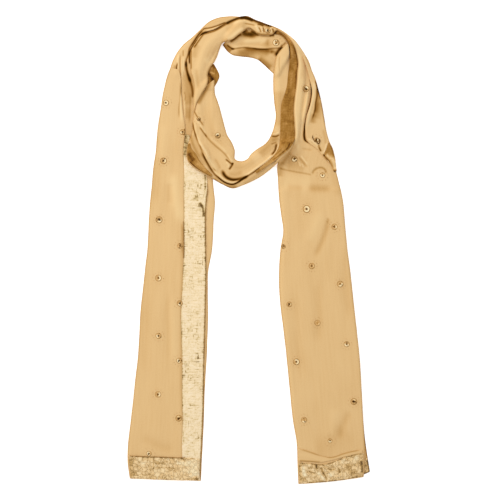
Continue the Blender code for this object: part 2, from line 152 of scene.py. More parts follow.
def unit(vectors: Array) -> Array:
    """Each row over its length."""
    return vectors / np.maximum(np.linalg.norm(vectors, axis=1, keepdims=True), 1e-6)


def totals(steps: Array) -> Array:
    """Running total of some steps, from 0."""
    return np.concatenate([[0.0], np.cumsum(steps)])


def circle(count: int) -> Array:
    """Angles of points spaced evenly round a circle."""
    return np.arange(count) / count * math.tau


def measure_from(path: Path, plan: Array) -> tuple[Array, Array, float]:
    """Signed distance from a path and place along it, for every plan point.

    The distance is to the nearest straight part of the smoothed path, positive to the left of the
    way that it runs.

    Args:
        path: points of the path, in millimetres.
        plan: plan points, any shape ending in 2.

    Returns:
        Signed distance, length along the path of the nearest point, and the path's whole length.
    """
    curve = smooth_path(path)
    best = np.full(plan.shape[:-1], np.inf)
    side = np.ones(plan.shape[:-1])
    place = np.zeros(plan.shape[:-1])
    run = 0.0
    for start, end in zip(curve[:-1], curve[1:]):
        ahead = end - start
        length = float(np.hypot(*ahead))
        away = plan - start
        t = np.clip((away @ ahead) / length**2, 0, 1)
        distance = np.linalg.norm(away - t[..., None] * ahead, axis=-1)
        cross = ahead[0] * away[..., 1] - ahead[1] * away[..., 0]
        nearer = distance < best
        best = np.where(nearer, distance, best)
        side = np.where(nearer, np.where(cross >= 0, 1.0, -1.0), side)
        place = np.where(nearer, run + t * length, place)
        run += length
    return best * side, place, run


# ---- folds and sections

class Fold(Enum):
    """The kinds of fold and mark that a stretch can carry."""

    RIDGE = "ridge"      # a soft raised line, with a painted highlight along it where its darkness is below 0
    TROUGH = "trough"    # a soft sunk line, with painted shade along it
    LAP = "lap"          # cloth left of the path lies over the cloth to its right, with painted shadow at its foot
    WASH = "wash"        # a darker or paler patch with no relief: painted shade, painted highlight, or a mark


class Crease(NamedTuple):
    """One fold: its kind, half width, height, darkness (painted shade and marks; below 0 a painted
    highlight), path, and the share of its length over which each end dies away."""

    kind: Fold
    width: float
    height: float
    dark: float
    path: Path
    taper: float = 0.2

    def read(self, plan: Array) -> Pair:
        """Relief and darkness that the fold gives to each plan point.

        A ridge or trough is a bell curve of the distance. A lap rises by an eased step as wide as
        the fold and sinks back over six widths, with a groove and a painted shadow line at its foot,
        and a painted highlight along its raised edge.

        Args:
            plan: plan points, in millimetres.

        Returns:
            Height in millimetres, and darkness from -1, painted highlight, to 1, painted shade.
        """
        height, dark = np.zeros(plan.shape[:-1]), np.zeros(plan.shape[:-1])
        points, reach = np.array(self.path, dtype=float), 12 * self.width
        near = np.all((plan > points.min(axis=0) - reach) & (plan < points.max(axis=0) + reach), axis=-1)
        if not near.any():
            return height, dark
        distance, place, length = measure_from(self.path, plan[near])
        fade = ease(np.minimum(place, length - place) / max(self.taper * length, 0.1))
        if self.kind is Fold.LAP:
            step = ease((distance / self.width + 1) / 2) * bell(np.maximum(distance, 0), 6 * self.width)
            groove = 0.4 * bell(distance + self.width, self.width)
            # painted highlight along the lap's raised edge
            rim = 0.35 * bell(distance - 1.7 * self.width, 1.3 * self.width)
            # painted shadow at the lap's foot
            foot = bell(distance + 0.5 * self.width, self.width)
            height[near] = self.height * fade * (step - groove)
            dark[near] = self.dark * fade * (foot - rim)
            return height, dark
        line = bell(distance, self.width) * fade
        rise = {Fold.RIDGE: 1.0, Fold.TROUGH: -1.0, Fold.WASH: 0.0}[self.kind]
        height[near], dark[near] = rise * self.height * line, self.dark * line
        return height, dark


class Section(NamedTuple):
    """A section across a stretch: its two side edges, the height of its plies, how far its middle
    runs ahead of the straight line between the edges, and how far it is lifted (or sunk)."""

    outer_x: float
    outer_y: float
    inner_x: float
    inner_y: float
    stack: float
    bow: float = 0.0
    lift: float = 0.0


Folds = tuple[Crease, ...]
Rows = tuple[Section, ...]


def path_of(words: list[str]) -> Path:
    """Points of a path, each written as x,y."""
    return tuple(tuple(map(float, word.split(","))) for word in words)


def creases(table: str) -> Folds:
    """Read a table of folds: each has its kind, its numbers and the points of its path.

    Args:
        table: the numbers are the width, height, darkness and taper. A wash leaves out its height,
            a taper of 0.2 is left out too, and what follows # on a line is a note.

    Returns:
        The folds.
    """
    folds: list[tuple[Fold, list[float], list[str]]] = []
    for word in " ".join(line.split("#")[0] for line in table.splitlines()).split():
        if word.isalpha():
            folds.append((Fold(word), [], []))
        elif "," in word:
            folds[-1][2].append(word)
        else:
            folds[-1][1].append(float(word))
    for kind, values, _ in folds:
        if kind is Fold.WASH:
            values.insert(1, 0.0)
    return tuple(Crease(kind, *values[:3], path_of(path), *values[3:]) for kind, values, path in folds)


def numbers(table: str) -> list[list[float]]:
    """Read a table of numbers, one row to a line."""
    return [[float(word) for word in line.split()] for line in table.strip().splitlines()]


def sections(table: str) -> Rows:
    """Read a table of sections, one to a line."""
    return tuple(Section(*row) for row in numbers(table))


class TailRow(NamedTuple):
    """A section across the left tail: its outer edge, the long border's seam, the border's free
    edge, and the edge of the plies that show beneath it."""

    y: float
    left: float
    seam: float
    border: float
    under: float


# ---- the laid heights

@dataclass
class Ground:
    """Height maps of what has been laid down, one for each stretch."""

    reach_x: float = 215.0
    reach_y: float = 400.0
    drape: int = 10              # half width of the window that drapes cloth over a step
    tight: int = 2               # half width of the window that rounds the step itself
    maps: dict[str, Array] = field(default_factory=dict)

    def bare(self) -> Array:
        """Height map, in cells of a millimetre, with nothing on it."""
        return np.zeros((int(2 * self.reach_x) + 1, int(2 * self.reach_y) + 1))

    def cells(self, plan: Array) -> Pair:
        """Indices of the cells that hold the plan points."""
        column = np.rint(plan[..., 0] + self.reach_x).astype(int)
        row = np.rint(plan[..., 1] + self.reach_y).astype(int)
        return column, row

    def record(self, name: str, top: Array) -> None:
        """Keep the height map of an upper surface.

        Every cell of the surface's grid is read at 4 by 4 points between its corners.

        Args:
            name: name of the stretch.
            top: grid of points, in millimetres.
        """
        heights = self.bare()
        a, b, c, d = top[:-1, :-1], top[1:, :-1], top[1:, 1:], top[:-1, 1:]
        for s in np.linspace(0, 1, 4):
            for t in np.linspace(0, 1, 4):
                points = (a * (1 - s) + b * s) * (1 - t) + (d * (1 - s) + c * s) * t
                column, row = self.cells(points)
                np.maximum.at(heights, (column, row), points[..., 2])
        self.maps[name] = heights

    def under(self, names: Names) -> Array:
        """Greatest height of the named stretches, cell by cell."""
        heights = self.bare()
        for name in names:
            heights = np.maximum(heights, self.maps[name])
        return heights

    @staticmethod
    def grow(heights: Array, cells: int) -> Array:
        """Each cell takes the greatest height within some cells of it."""
        for axis in (0, 1):
            for _ in range(cells):
                beside = np.maximum(np.roll(heights, 1, axis=axis), np.roll(heights, -1, axis=axis))
                heights = np.maximum(heights, beside)
        return heights

    @staticmethod
    def soften(heights: Array, window: int) -> Array:
        """The map averaged twice over a square window, by differences of its running sums."""
        size = 2 * window + 1
        for axis in (0, 1, 0, 1):
            pad = [(0, 0), (0, 0)]
            pad[axis] = (window + 1, window)
            total = np.cumsum(np.pad(heights, pad, mode="edge"), axis=axis)
            ends = np.take(total, range(size, total.shape[axis]), axis=axis)
            starts = np.take(total, range(0, total.shape[axis] - size), axis=axis)
            heights = (ends - starts) / size
        return heights

    @staticmethod
    def sample(heights: Array, column: Array, row: Array) -> Array:
        """Read a map between its cells, by the shares of the four nearest."""
        i, j = np.floor(column).astype(int), np.floor(row).astype(int)
        s, t = column - i, row - j
        near = heights[i, j] * (1 - s) + heights[i + 1, j] * s
        far = heights[i, j + 1] * (1 - s) + heights[i + 1, j + 1] * s
        return near * (1 - t) + far * t

    def read(self, heights: Array, plan: Array) -> Array:
        """Height of a map at plan points in millimetres."""
        return self.sample(heights, plan[..., 0] + self.reach_x, plan[..., 1] + self.reach_y)

    def draped(self, names: Names, plan: Array) -> Pair:
        """Where cloth comes to rest over the named stretches.

        Args:
            names: stretches that lie beneath.
            plan: plan points, in millimetres.

        Returns:
            Height of the surface beneath, and height of cloth that drapes softly over it.
        """
        beneath = self.under(names)
        close = self.soften(self.grow(beneath, 2 * self.tight), self.tight)
        rest = self.read(close, plan)
        drape = np.maximum(self.read(self.soften(beneath, self.drape), plan), rest)
        return rest, drape


# ---- meshes

def show(name: str, data: bpy.types.ID) -> Thing:
    """Put a mesh, a lamp or a camera into the scene, at the origin."""
    thing = bpy.data.objects.new(name, data)
    bpy.context.scene.collection.objects.link(thing)
    return thing


def make_object(name: str, points: Array, faces: tuple[Array, ...], material: Material,
                uv: Array | None = None, dark: Array | None = None) -> Thing:
    """Put arrays of points and faces into a mesh object at the origin, with faces outwards.

    Args:
        name: name of the object.
        points: points in millimetres.
        faces: arrays of point indices, each with a row for each face.
        material: finish of the whole mesh.
        uv: place across and along the cloth for each point, in metres.
        dark: painted shade and highlight, with marks, of the cloth at each point, from -1 to 1.

    Returns:
        The new object.
    """
    volume = 0.0
    for array in faces:
        first = points[array[:, 0]]
        for k in range(1, array.shape[1] - 1):
            turned = np.cross(points[array[:, k]], points[array[:, k + 1]])
            volume += np.einsum("ij,ij->", first, turned)
    if volume < 0:
        faces = tuple(array[:, ::-1] for array in faces)
    corners = np.concatenate([array.ravel() for array in faces])
    sizes = np.concatenate([np.full(len(array), array.shape[1]) for array in faces])
    used, corners = np.unique(corners, return_inverse=True)
    mesh = bpy.data.meshes.new(name)
    mesh.vertices.add(len(used))
    mesh.vertices.foreach_set("co", (points[used] * MM).ravel())
    mesh.loops.add(len(corners))
    mesh.loops.foreach_set("vertex_index", corners)
    mesh.polygons.add(len(sizes))
    mesh.polygons.foreach_set("loop_start", np.cumsum(sizes) - sizes)
    mesh.update(calc_edges=True)
    if uv is not None:
        layer = mesh.uv_layers.new(name="cloth")
        layer.data.foreach_set("uv", uv[used][corners].ravel())
    # painted shade and highlight, with the cloth's marks, kept as a point attribute
    if dark is not None:
        values = mesh.attributes.new("dark", "FLOAT", "POINT")
        values.data.foreach_set("value", dark[used].astype(np.float32))
    mesh.shade_smooth()
    mesh.materials.append(material)
    return show(name, mesh)


def scattered(shape: Array, places: Array) -> Array:
    """Copies of one small shape, each moved and turned.

    Args:
        shape: points of the shape, in millimetres.
        places: a row for each copy: x, y, z, turn about +Z, and scale.

    Returns:
        The points of each copy.
    """
    turn, scale = places[:, 3], places[:, 4]
    cos, sin = (np.cos(turn) * scale)[:, None], (np.sin(turn) * scale)[:, None]
    x = cos * shape[:, 0] - sin * shape[:, 1] + places[:, 0:1]
    y = sin * shape[:, 0] + cos * shape[:, 1] + places[:, 1:2]
    z = scale[:, None] * shape[:, 2] + places[:, 2:3]
    return np.stack([x, y, z], axis=-1)


def grid_faces(rows: int, columns: int, closed_rows: bool = False, closed_columns: bool = False) -> Array:
    """Faces between the points of a grid, which may close round in either direction."""
    i = np.arange(rows if closed_rows else rows - 1)[:, None]
    j = np.arange(columns if closed_columns else columns - 1)[None, :]
    up, right = (i + 1) % rows, (j + 1) % columns
    return np.stack([i * columns + j, up * columns + j, up * columns + right, i * columns + right],
                    axis=-1).reshape(-1, 4)


# ---- a stretch of cloth

@dataclass
class Stretch:
    """A stretch of folded cloth: a closed shell with plies along its edges."""

    name: str
    rows: Rows
    lies_on: Names = ()
    creases: Folds = ()
    columns: int = 40
    fine: float = 1.3            # spacing of the sections where the cloth is bunched
    calm: float = 4.0            # spacing of the sections where it lies smooth
    calm_below: float = 80.0     # it lies smooth below this Y
    rounding: float = 3.0        # how far in from a side edge the top rounds over
    edge_share: float = 0.5      # height of the side edge, as a share of the stack
    plies: int = 2               # lips that show along the edges
    lip: float = 0.5             # how far a lip stands out
    clearance: float = 0.15      # space to what it lies on
    crinkle: float = 0.0         # height of fine lengthwise crinkles
    swell: float = 0.0           # height of broad, slow waves
    cell: Point = (6.0, 55.0)    # size of the fine crinkles, across and along
    tint: float = 0.0            # darkness of the whole stretch
    edge_shade: Point = (0.0, 0.0)     # painted shade along each side edge, where the plies roll under
    seed: int = 1
    wall_steps: int = 4          # rows of faces on each lip
    least: float = 0.5           # thinnest that the shell gets
    foot_strips: int = 8         # strips of faces across the underside
    edge_shade_width: float = 1.4       # width of the painted shade along a side edge
    smooth_edge: float = 4.0     # the fine crinkles die away this near a side edge
    ragged: Point = (7.0, 18.0)  # a lip's unevenness: step from ply to ply, and length along the edge
    ply_gap_shade: float = 0.25     # painted shade in the gap between two plies of a lip
    plan: Array = field(init=False)
    top: Array = field(init=False)
    rest: Array = field(init=False)
    dark: Array = field(init=False)
    across: Array = field(init=False)
    along: Array = field(init=False)
    stack: Array = field(init=False)
    inside: Array = field(init=False)
    edges: Pair = field(init=False)

    def __post_init__(self) -> None:
        """Work out the plan grid from the rows of the table."""
        table = np.array(self.rows, dtype=float)
        middle = (table[:, 0:2] + table[:, 2:4]) / 2
        steps = np.linalg.norm(np.diff(middle, axis=0), axis=1)
        knots = totals(np.maximum(steps, 1.0))
        bunched = ease((middle[:, 1] - self.calm_below) / 40)
        fineness = self.calm + (self.fine - self.calm) * bunched
        count = totals(np.diff(knots) * 2 / (fineness[1:] + fineness[:-1]))
        at = np.interp(np.linspace(0, count[-1], int(count[-1]) + 2), count, knots)
        sections = self.through(table, knots, at)
        share = (1 - np.cos(np.linspace(0, np.pi, self.columns))) / 2
        share = 0.25 * share + 0.75 * np.linspace(0, 1, self.columns)
        outer, inner, u = sections[:, None, 0:2], sections[:, None, 2:4], share[None, :, None]
        ahead = unit(np.gradient((sections[:, 0:2] + sections[:, 2:4]) / 2, axis=0))
        bow = sections[:, None, 5:6] * 4 * u * (1 - u)
        self.plan = outer * (1 - u) + inner * u + bow * ahead[:, None, :]
        size = np.linalg.norm(sections[:, 0:2] - sections[:, 2:4], axis=1)
        self.across = (share - 0.5) * size[:, None]
        self.along = np.broadcast_to(at[:, None], self.across.shape)
        self.edges = share * size[:, None], (1 - share) * size[:, None]
        self.inside = np.minimum(*self.edges)
        reach = np.minimum(self.rounding, size / 2)[:, None]
        rise = np.sqrt(1 - (1 - np.clip(self.inside / reach, 0, 1)) ** 2)
        self.stack = sections[:, 4:5] * (self.edge_share + (1 - self.edge_share) * rise) + sections[:, 6:7]

    @staticmethod
    def through(table: Array, knots: Array, at: Array) -> Array:
        """Cubic curves through every column of a table, with slopes from its neighbouring rows."""
        slopes = np.gradient(table, knots, axis=0)
        i = np.clip(np.searchsorted(knots, at, side="right") - 1, 0, len(knots) - 2)
        span = (knots[i + 1] - knots[i])[:, None]
        t = (at - knots[i])[:, None] / span
        return cubic(t, table[i], span * slopes[i], table[i + 1], span * slopes[i + 1])

    def relief(self) -> Pair:
        """Height and darkness of all the folds and crinkles together.

        The crinkles are smooth noise, long along the cloth and short across it, and die away near a
        side edge. The darkness is the stretch's tint, the painted shade along its side edges, and the
        folds' painted shade, painted highlight and marks; it adds up and is held from -1 to 1.
        """
        calm = ease(self.inside / self.smooth_edge)
        broad = (4.5 * self.cell[0], 2.2 * self.cell[1])
        height = (self.crinkle * soft_noise(self.across, self.along, self.cell, self.seed) * calm
                  + self.swell * soft_noise(self.across, self.along, broad, self.seed + 50))
        dark = np.full(height.shape, self.tint)
        # painted shade along both side edges
        for rim, distance in zip(self.edge_shade, self.edges):
            dark = dark + rim * bell(distance, self.edge_shade_width)
        for crease in self.creases:
            rise, shade = crease.read(self.plan)
            height, dark = height + rise, dark + shade
        return height, np.clip(dark, -1, 1)

    def lay(self, ground: Ground) -> None:
        """Drape the stretch over what lies beneath it, and keep its own height map."""
        self.settle(*ground.draped(self.lies_on, self.plan))
        ground.record(self.name, self.top)

    def settle(self, rest: Array, drape: Array) -> None:
        """Work out the upper and lower surface.

        The top is the drape and the stack of plies and the folds, and never less than the thinnest
        above the rest.
        """
        height, self.dark = self.relief()
        lower = np.where(rest > 0.05, rest + self.clearance, 0.0)
        upper = np.maximum(drape + self.stack + height, lower + self.least)
        self.top = np.concatenate([self.plan, upper[..., None]], axis=-1)
        self.rest = np.concatenate([self.plan, lower[..., None]], axis=-1)

    def rim(self) -> Array:
        """Indices of the grid's outermost points, in order round it."""
        rows, columns = self.plan.shape[:2]
        index = np.arange(rows * columns).reshape(rows, columns)
        return np.concatenate([index[0, :], index[1:, -1], index[-1, -2::-1], index[-2:0:-1, 0]])

    def build(self, material: Material) -> Thing:
        """Close the shell round its rim.

        The wall between the two surfaces stands out by the lip times the root of the sine of its
        height in plies, so that each ply ends in a rounded lip, and each lip stands out unevenly
        along the edge.

        Args:
            material: finish of the cloth.

        Returns:
            The finished object.
        """
        rows, columns = self.plan.shape[:2]
        count = rows * columns
        rim = self.rim()
        edge, foot = self.top.reshape(-1, 3)[rim], self.rest.reshape(-1, 3)[rim]
        way = unit(np.roll(edge[:, :2], -1, axis=0) - np.roll(edge[:, :2], 1, axis=0))
        turn = np.sign(np.sum(edge[:, 0] * np.roll(edge[:, 1], -1) - np.roll(edge[:, 0], -1) * edge[:, 1]))
        out = np.stack([way[:, 1], -way[:, 0]], axis=1) * turn
        run = totals(np.linalg.norm(np.diff(edge[:, :2], axis=0), axis=1))
        levels = self.plies * self.wall_steps
        level = np.arange(1, levels) / levels
        ply = np.floor(level * self.plies)
        ragged = soft_noise(*np.broadcast_arrays(ply[:, None] * self.ragged[0], run[None]),
                            (1.0, self.ragged[1]), self.seed + 9)
        bulge = np.abs(np.sin(np.pi * self.plies * level))[:, None]
        stands = self.lip * np.sqrt(bulge) * (0.75 + 0.5 * ragged)
        wall = edge[None] * (1 - level[:, None, None]) + foot[None] * level[:, None, None]
        wall[:, :, :2] += stands[..., None] * out[None]
        points = np.concatenate([self.top.reshape(-1, 3), self.rest.reshape(-1, 3), wall.reshape(-1, 3)])
        flat = np.stack([self.across, self.along], axis=-1).reshape(-1, 2)
        uv = np.concatenate([flat, flat] + [flat[rim]] * (levels - 1)) * MM
        shade = self.dark.ravel()
        # painted shade between the plies on each lip wall
        dark = np.concatenate([shade, shade, (shade[rim] + self.ply_gap_shade * (1 - bulge)).ravel()])
        rings = [rim] + [2 * count + k * len(rim) + np.arange(len(rim)) for k in range(levels - 1)]
        rings.append(rim + count)
        walls = [np.stack([np.roll(upper, -1), np.roll(lower, -1), lower, upper], axis=1)
                 for upper, lower in zip(rings[:-1], rings[1:])]
        faces = (grid_faces(rows, columns), *walls, *self.underside(count))
        return make_object(self.name, points, faces, material, uv, np.clip(dark, -1, 1))

    def underside(self, first: int) -> tuple[Array, Array, Array]:
        """Faces of the underside: a few wide strips, fanned out to every point along its two ends.

        Args:
            first: index of the underside's first point.

        Returns:
            The strips' faces and the triangles of both ends.
        """
        rows, columns = self.plan.shape[:2]
        index = first + np.arange(rows * columns).reshape(rows, columns)
        few = np.unique(np.linspace(0, columns - 1, self.foot_strips + 1).astype(int))
        owner = few[np.searchsorted(few, np.arange(columns - 1), side="right") - 1]
        strips = grid_faces(rows - 2, len(few))
        fans = []
        for end, beside, turn in ((index[0], index[1], 1), (index[-1], index[-2], -1)):
            fan = np.stack([end[:-1], beside[owner], end[1:]], axis=1)
            close = np.stack([end[few[1:]], beside[few[:-1]], beside[few[1:]]], axis=1)
            fans.append(np.concatenate([fan, close])[:, ::-turn])
        return index[1:-1][:, few].ravel()[strips][:, ::-1], fans[0], fans[1]

    def flat(self) -> tuple[Point, float]:
        """Size and area of what shows, laid out flat, in metres and square metres."""
        a, b, c, d = (self.plan[:-1, :-1], self.plan[1:, :-1], self.plan[1:, 1:], self.plan[:-1, 1:])
        one, two = c - a, d - b
        area = float(np.abs(one[..., 0] * two[..., 1] - one[..., 1] * two[..., 0]).sum() / 2)
        width = float(2 * np.abs(self.across).max())
        length = max(float(self.along.max()), area / width)
        return (width * MM, length * MM), min(area, width * length) * MM * MM


# ---- finishes

class Space(Enum):
    """Coordinates that a finish's patterns are read at: their node, its output and its settings."""

    CLOTH = ("UVMap", "UV", {"uv_map": "cloth"})     # across and along the cloth, in metres
    OBJECT = ("TexCoord", "Object", {})


@dataclass
class Recipe:
    """One finish while it is put together: its material, its node tree and its main shader."""

    name: str
    space: Space | None = None   # none for a finish with no pattern

    def __post_init__(self) -> None:
        """Start the material, and the coordinates that its patterns are read at."""
        self.material = bpy.data.materials.new(self.name)
        self.material.use_nodes = True
        self.tree = self.material.node_tree
        self.shader = self.tree.nodes["Principled BSDF"]
        if self.space:
            kind, output, settings = self.space.value
            self.place = self.add(kind, output=output, **settings)

    def feed(self, node: bpy.types.Node, values: dict) -> None:
        """Give a node's inputs, by name or number, constants or other nodes' outputs."""
        for key, value in values.items():
            if isinstance(value, Socket):
                self.tree.links.new(value, node.inputs[key])
            else:
                node.inputs[key].default_value = value

    def add(self, kind: str, *values: object, output: str | int = 0, **settings: object) -> Socket:
        """Add one node, with its settings and what goes into its inputs.

        Args:
            kind: Blender's name of the node, after its ShaderNode, and its operation if it has one.
            values: a constant or another node's output for each input in order, or one dict of
                them by the inputs' names.
            output: the output to give back, by name or number.
            settings: the node's own settings.

        Returns:
            The output.
        """
        kind, _, operation = kind.partition(" ")
        node = self.tree.nodes.new("ShaderNode" + kind)
        if operation:
            node.operation = operation
        for name, value in settings.items():
            setattr(node, name, value)
        named = values and isinstance(values[0], dict)
        self.feed(node, values[0] if named else dict(enumerate(values)))
        return node.outputs[output]

    def above(self, value: Socket, floor: float, gain: float) -> Socket:
        """How far a value stands above a floor, times a gain."""
        over = self.add("Math MAXIMUM", self.add("Math SUBTRACT", value, floor), 0.0)
        return self.add("Math MULTIPLY", over, gain)

    def grains(self, size: Point, detail: float = 2.0, rough: float = 0.5) -> Socket:
        """Noise with grains of a real size.

        Args:
            size: size of a grain across and along, in millimetres.
            detail: number of finer layers.
            rough: strength of the finer layers.

        Returns:
            The noise, from 0 to 1.
        """
        scale = (1 / (size[0] * MM), 1 / (size[1] * MM), 1.0)
        place = self.add("Mapping", {"Vector": self.place, "Scale": scale})
        return self.add("TexNoise", {"Vector": place, "Scale": 1.0, "Detail": detail, "Roughness": rough},
                        output="Fac", noise_dimensions="3D")

    def threads(self, pitch: float, direction: str, wobble: float = 0.6) -> Socket:
        """Parallel threads at a real pitch in millimetres, as a sine wave across X or Y."""
        inputs = {"Vector": self.place, "Scale": WAVE / (pitch * MM), "Distortion": wobble, "Detail": 1.0,
                  "Detail Scale": 0.6}
        return self.add("TexWave", inputs, output="Fac", wave_type="BANDS", bands_direction=direction,
                        wave_profile="SIN")

    def darkness(self) -> Socket:
        """The painted shade and highlight, with marks, that each point of the mesh carries, from -1 to 1.
        """
        return self.add("Attribute", output="Fac", attribute_name="dark", attribute_type="GEOMETRY")

    def shade_and_pattern_place(self, base: float, *layers: tuple[Socket, float]) -> Socket:
        """Place on a colour ramp: a base and half the mesh's painted shade and marks, shifted by patterns.

        Args:
            base: place of cloth that is neither dark nor pale.
            layers: each a value from 0 to 1 and the width of the shift that it gives.

        Returns:
            The place, from 0 to 1.
        """
        place = self.add("Math MULTIPLY_ADD", self.darkness(), 0.5, base)
        for value, strength in layers:
            shift = self.add("Math MULTIPLY_ADD", value, strength, -strength / 2)
            place = self.add("Math ADD", place, shift)
        return place

    def level(self, **levels: object) -> Material:
        """Set the main shader's inputs, by name with _ for a space, and give back the material."""
        self.feed(self.shader, {name.replace("_", " "): value for name, value in levels.items()})
        return self.material

    def dress(self, factor: Socket, shades: Shades, relief: Socket, depth: float, strength: float,
              **levels: object) -> Material:
        """Join colour and bump to the main shader and set its levels.

        Args:
            factor: place on the colour ramp.
            shades: the ramp's places and colours.
            relief: height of the surface.
            depth: depth of the relief in metres.
            strength: strength of the bump.
            levels: constants or outputs for other inputs, by name with _ for a space.

        Returns:
            The finished material.
        """
        colour = self.add("ValToRGB", factor, output="Color")
        elements = colour.node.color_ramp.elements
        while len(elements) < len(shades):
            elements.new(0.5)
        for element, (place, shade) in zip(elements, shades):
            element.position = place
            element.color = linear(shade)
        normal = self.add("Bump", {"Height": relief, "Strength": strength, "Distance": depth},
                          output="Normal")
        return self.level(Base_Color=colour, Normal=normal, **levels)


@dataclass(frozen=True)
class Georgette:
    """Crepe georgette: sheer polyester of hard-twisted yarn, which gives a dry, pebbled face with a
    faint sheen. Painted shade from the mesh makes it darker and browner in the folds, and takes its
    sheen away there."""

    name: str = "georgette_crepe"
    weave_pitch: float = 1.3     # the real yarns are 0.3 mm apart, too fine to show
    pebble: Point = (1.8, 1.8)   # size of the crepe's grain
    streak: Point = (3.5, 60.0)  # lengthwise crimp
    cloud: Point = (38.0, 70.0)  # slow changes of colour
    sheen: float = 0.06
    gloss: float = 0.2
    shades: Shades = (
        (0.00, "FAE4BE"), (0.25, "F3D3A0"), (0.44, "EDC990"), (0.50, "E6BF86"), (0.56, "DAB075"),
        (0.66, "BF9254"), (0.78, "966527"), (0.90, "66400E"), (1.00, "3E2202"))

    def make(self) -> Material:
        """Build the material."""
        mix = Recipe(self.name, Space.CLOTH)
        weave = mix.add("Math MULTIPLY", *(mix.threads(self.weave_pitch, way) for way in "XY"))
        grain = mix.grains(self.pebble, 3.0, 0.6)
        crimp = mix.grains(self.streak)
        place = mix.shade_and_pattern_place(0.5, (grain, 0.07), (crimp, 0.05), (mix.grains(self.cloud, 1.0), 0.045),
                         (weave, -0.012))
        relief = mix.add("Math MULTIPLY_ADD", crimp, 1.6, mix.add("Math MULTIPLY_ADD", weave, 0.35, grain))
        # less sheen and gloss where painted shade makes the cloth darker
        pale = mix.add("Math SUBTRACT", 1.0, place, use_clamp=True)
        return mix.dress(place, self.shades, relief, 0.00022, 0.55, Roughness=0.72,
                         Sheen_Roughness=0.45, Sheen_Tint=linear("FFF0D8"),
                         Sheen_Weight=mix.add("Math MULTIPLY", pale, self.sheen),
                         Specular_IOR_Level=mix.add("Math MULTIPLY", pale, self.gloss))


@dataclass(frozen=True)
class ZariTissue:
    """Zari tissue: flat gilt yarn woven over silk, pressed flat. It is pale and bright where the
    gilt lies smooth, with short grey-brown marks where wefts have broken."""

    name: str = "zari_tissue"
    rib_pitch: float = 2.6       # the real gilt wefts are 0.4 mm apart, too fine to show
    fleck: Point = (2.6, 2.2)
    blotch: Point = (9.0, 8.0)
    stain: Point = (5.0, 3.6)
    weft_mark: Point = (13.0, 1.5)
    warp_mark: Point = (1.5, 11.0)
    worn_patch: Point = (26.0, 26.0)     # size of the patches in which marks gather
    crush: Point = (3.0, 3.0)
    wear: float = 0.41           # how much of the gilt is rubbed
    gather: Point = (0.42, 4.0)  # the worn patches begin at this level, and fade in by this gain
    mark: Point = (0.55, 7.0)    # the same for a mark or stain
    shades: Shades = (
        (0.00, "FFF4D8"), (0.26, "FFEBC9"), (0.44, "F9E0B5"), (0.58, "E8CD9A"), (0.70, "C6A970"),
        (0.84, "8E6E38"), (1.00, "5A3A10"))

    def make(self) -> Material:
        """Build the material."""
        mix = Recipe(self.name, Space.CLOTH)
        ribs = mix.threads(self.rib_pitch, "Y", 1.6)
        gather = mix.above(mix.grains(self.worn_patch, 1.0), *self.gather)
        weft, warp, stain = (mix.above(mix.grains(size, 1.0), *self.mark)
                             for size in (self.weft_mark, self.warp_mark, self.stain))
        broken = mix.add("Math MULTIPLY", mix.add("Math MAXIMUM", weft, warp), gather)
        marked = mix.add("Math MULTIPLY_ADD", broken, 0.36,
                           mix.add("Math MULTIPLY", mix.add("Math MINIMUM", stain, 1.0), 0.14))
        place = mix.shade_and_pattern_place(self.wear, (ribs, 0.10), (mix.grains(self.fleck, 2.0, 0.7), 0.36),
                         (mix.grains(self.blotch, 3.0, 0.65), 0.48))
        relief = mix.add("Math MULTIPLY_ADD", ribs, 0.25, mix.grains(self.crush, 3.0, 0.6))
        return mix.dress(mix.add("Math ADD", place, marked), self.shades, relief, 0.0008, 0.8,
                         Roughness=0.5, Specular_IOR_Level=0.2)


@dataclass(frozen=True)
class CrushedZari:
    """Zari tissue that has been crushed and pressed: small facets of gilt, each a random shade from
    bright to brown, with dark lines where it has cracked between them."""

    name: str = "zari_tissue_crushed"
    facet: float = 6.5           # size of a facet, in millimetres
    crumple: float = 4.0         # size of the waves that pull the facets about
    bend: float = 0.009          # how far the facets are pulled out of shape, in metres
    rib_pitch: float = 2.4       # the real gilt wefts are 0.4 mm apart, too fine to show
    fleck: Point = (2.0, 1.6)
    blotch: Point = (13.0, 10.0)
    crack: float = 0.12          # width of a crack, as a share of a facet
    wear: float = 0.46
    shades: Shades = (
        (0.00, "FFECC0"), (0.25, "FCDEAA"), (0.45, "EFC98F"), (0.60, "CFA767"), (0.78, "9A7438"),
        (1.00, "5A3A10"))

    def make(self) -> Material:
        """Build the material."""
        mix = Recipe(self.name, Space.CLOTH)
        bent = mix.add("TexNoise", {"Vector": mix.place, "Scale": 1 / (self.crumple * MM), "Detail": 2.0},
                       output="Color")
        shift = mix.add("VectorMath MULTIPLY", bent, (self.bend, self.bend, 0.0))
        facets = {"Vector": mix.add("VectorMath ADD", mix.place, shift), "Scale": 1 / (self.facet * MM)}
        tone = mix.add("SeparateColor", mix.add("TexVoronoi", facets, output="Color"))
        edge = mix.add("TexVoronoi", facets, output="Distance", feature="DISTANCE_TO_EDGE")
        crack = mix.add("MapRange", edge, 0.0, self.crack, 1.0, 0.0)
        ribs = mix.threads(self.rib_pitch, "Y", 3.0)
        place = mix.shade_and_pattern_place(self.wear, (tone, 0.20), (crack, 0.14), (mix.grains(self.fleck, 2.0, 0.7), 0.75),
                         (ribs, 0.08), (mix.grains(self.blotch, 2.0, 0.6), 0.42))
        return mix.dress(place, self.shades, mix.add("Math MULTIPLY_ADD", crack, -0.7, tone), 0.0016, 0.7,
                         Roughness=0.42, Metallic=0.15, Specular_IOR_Level=0.4)


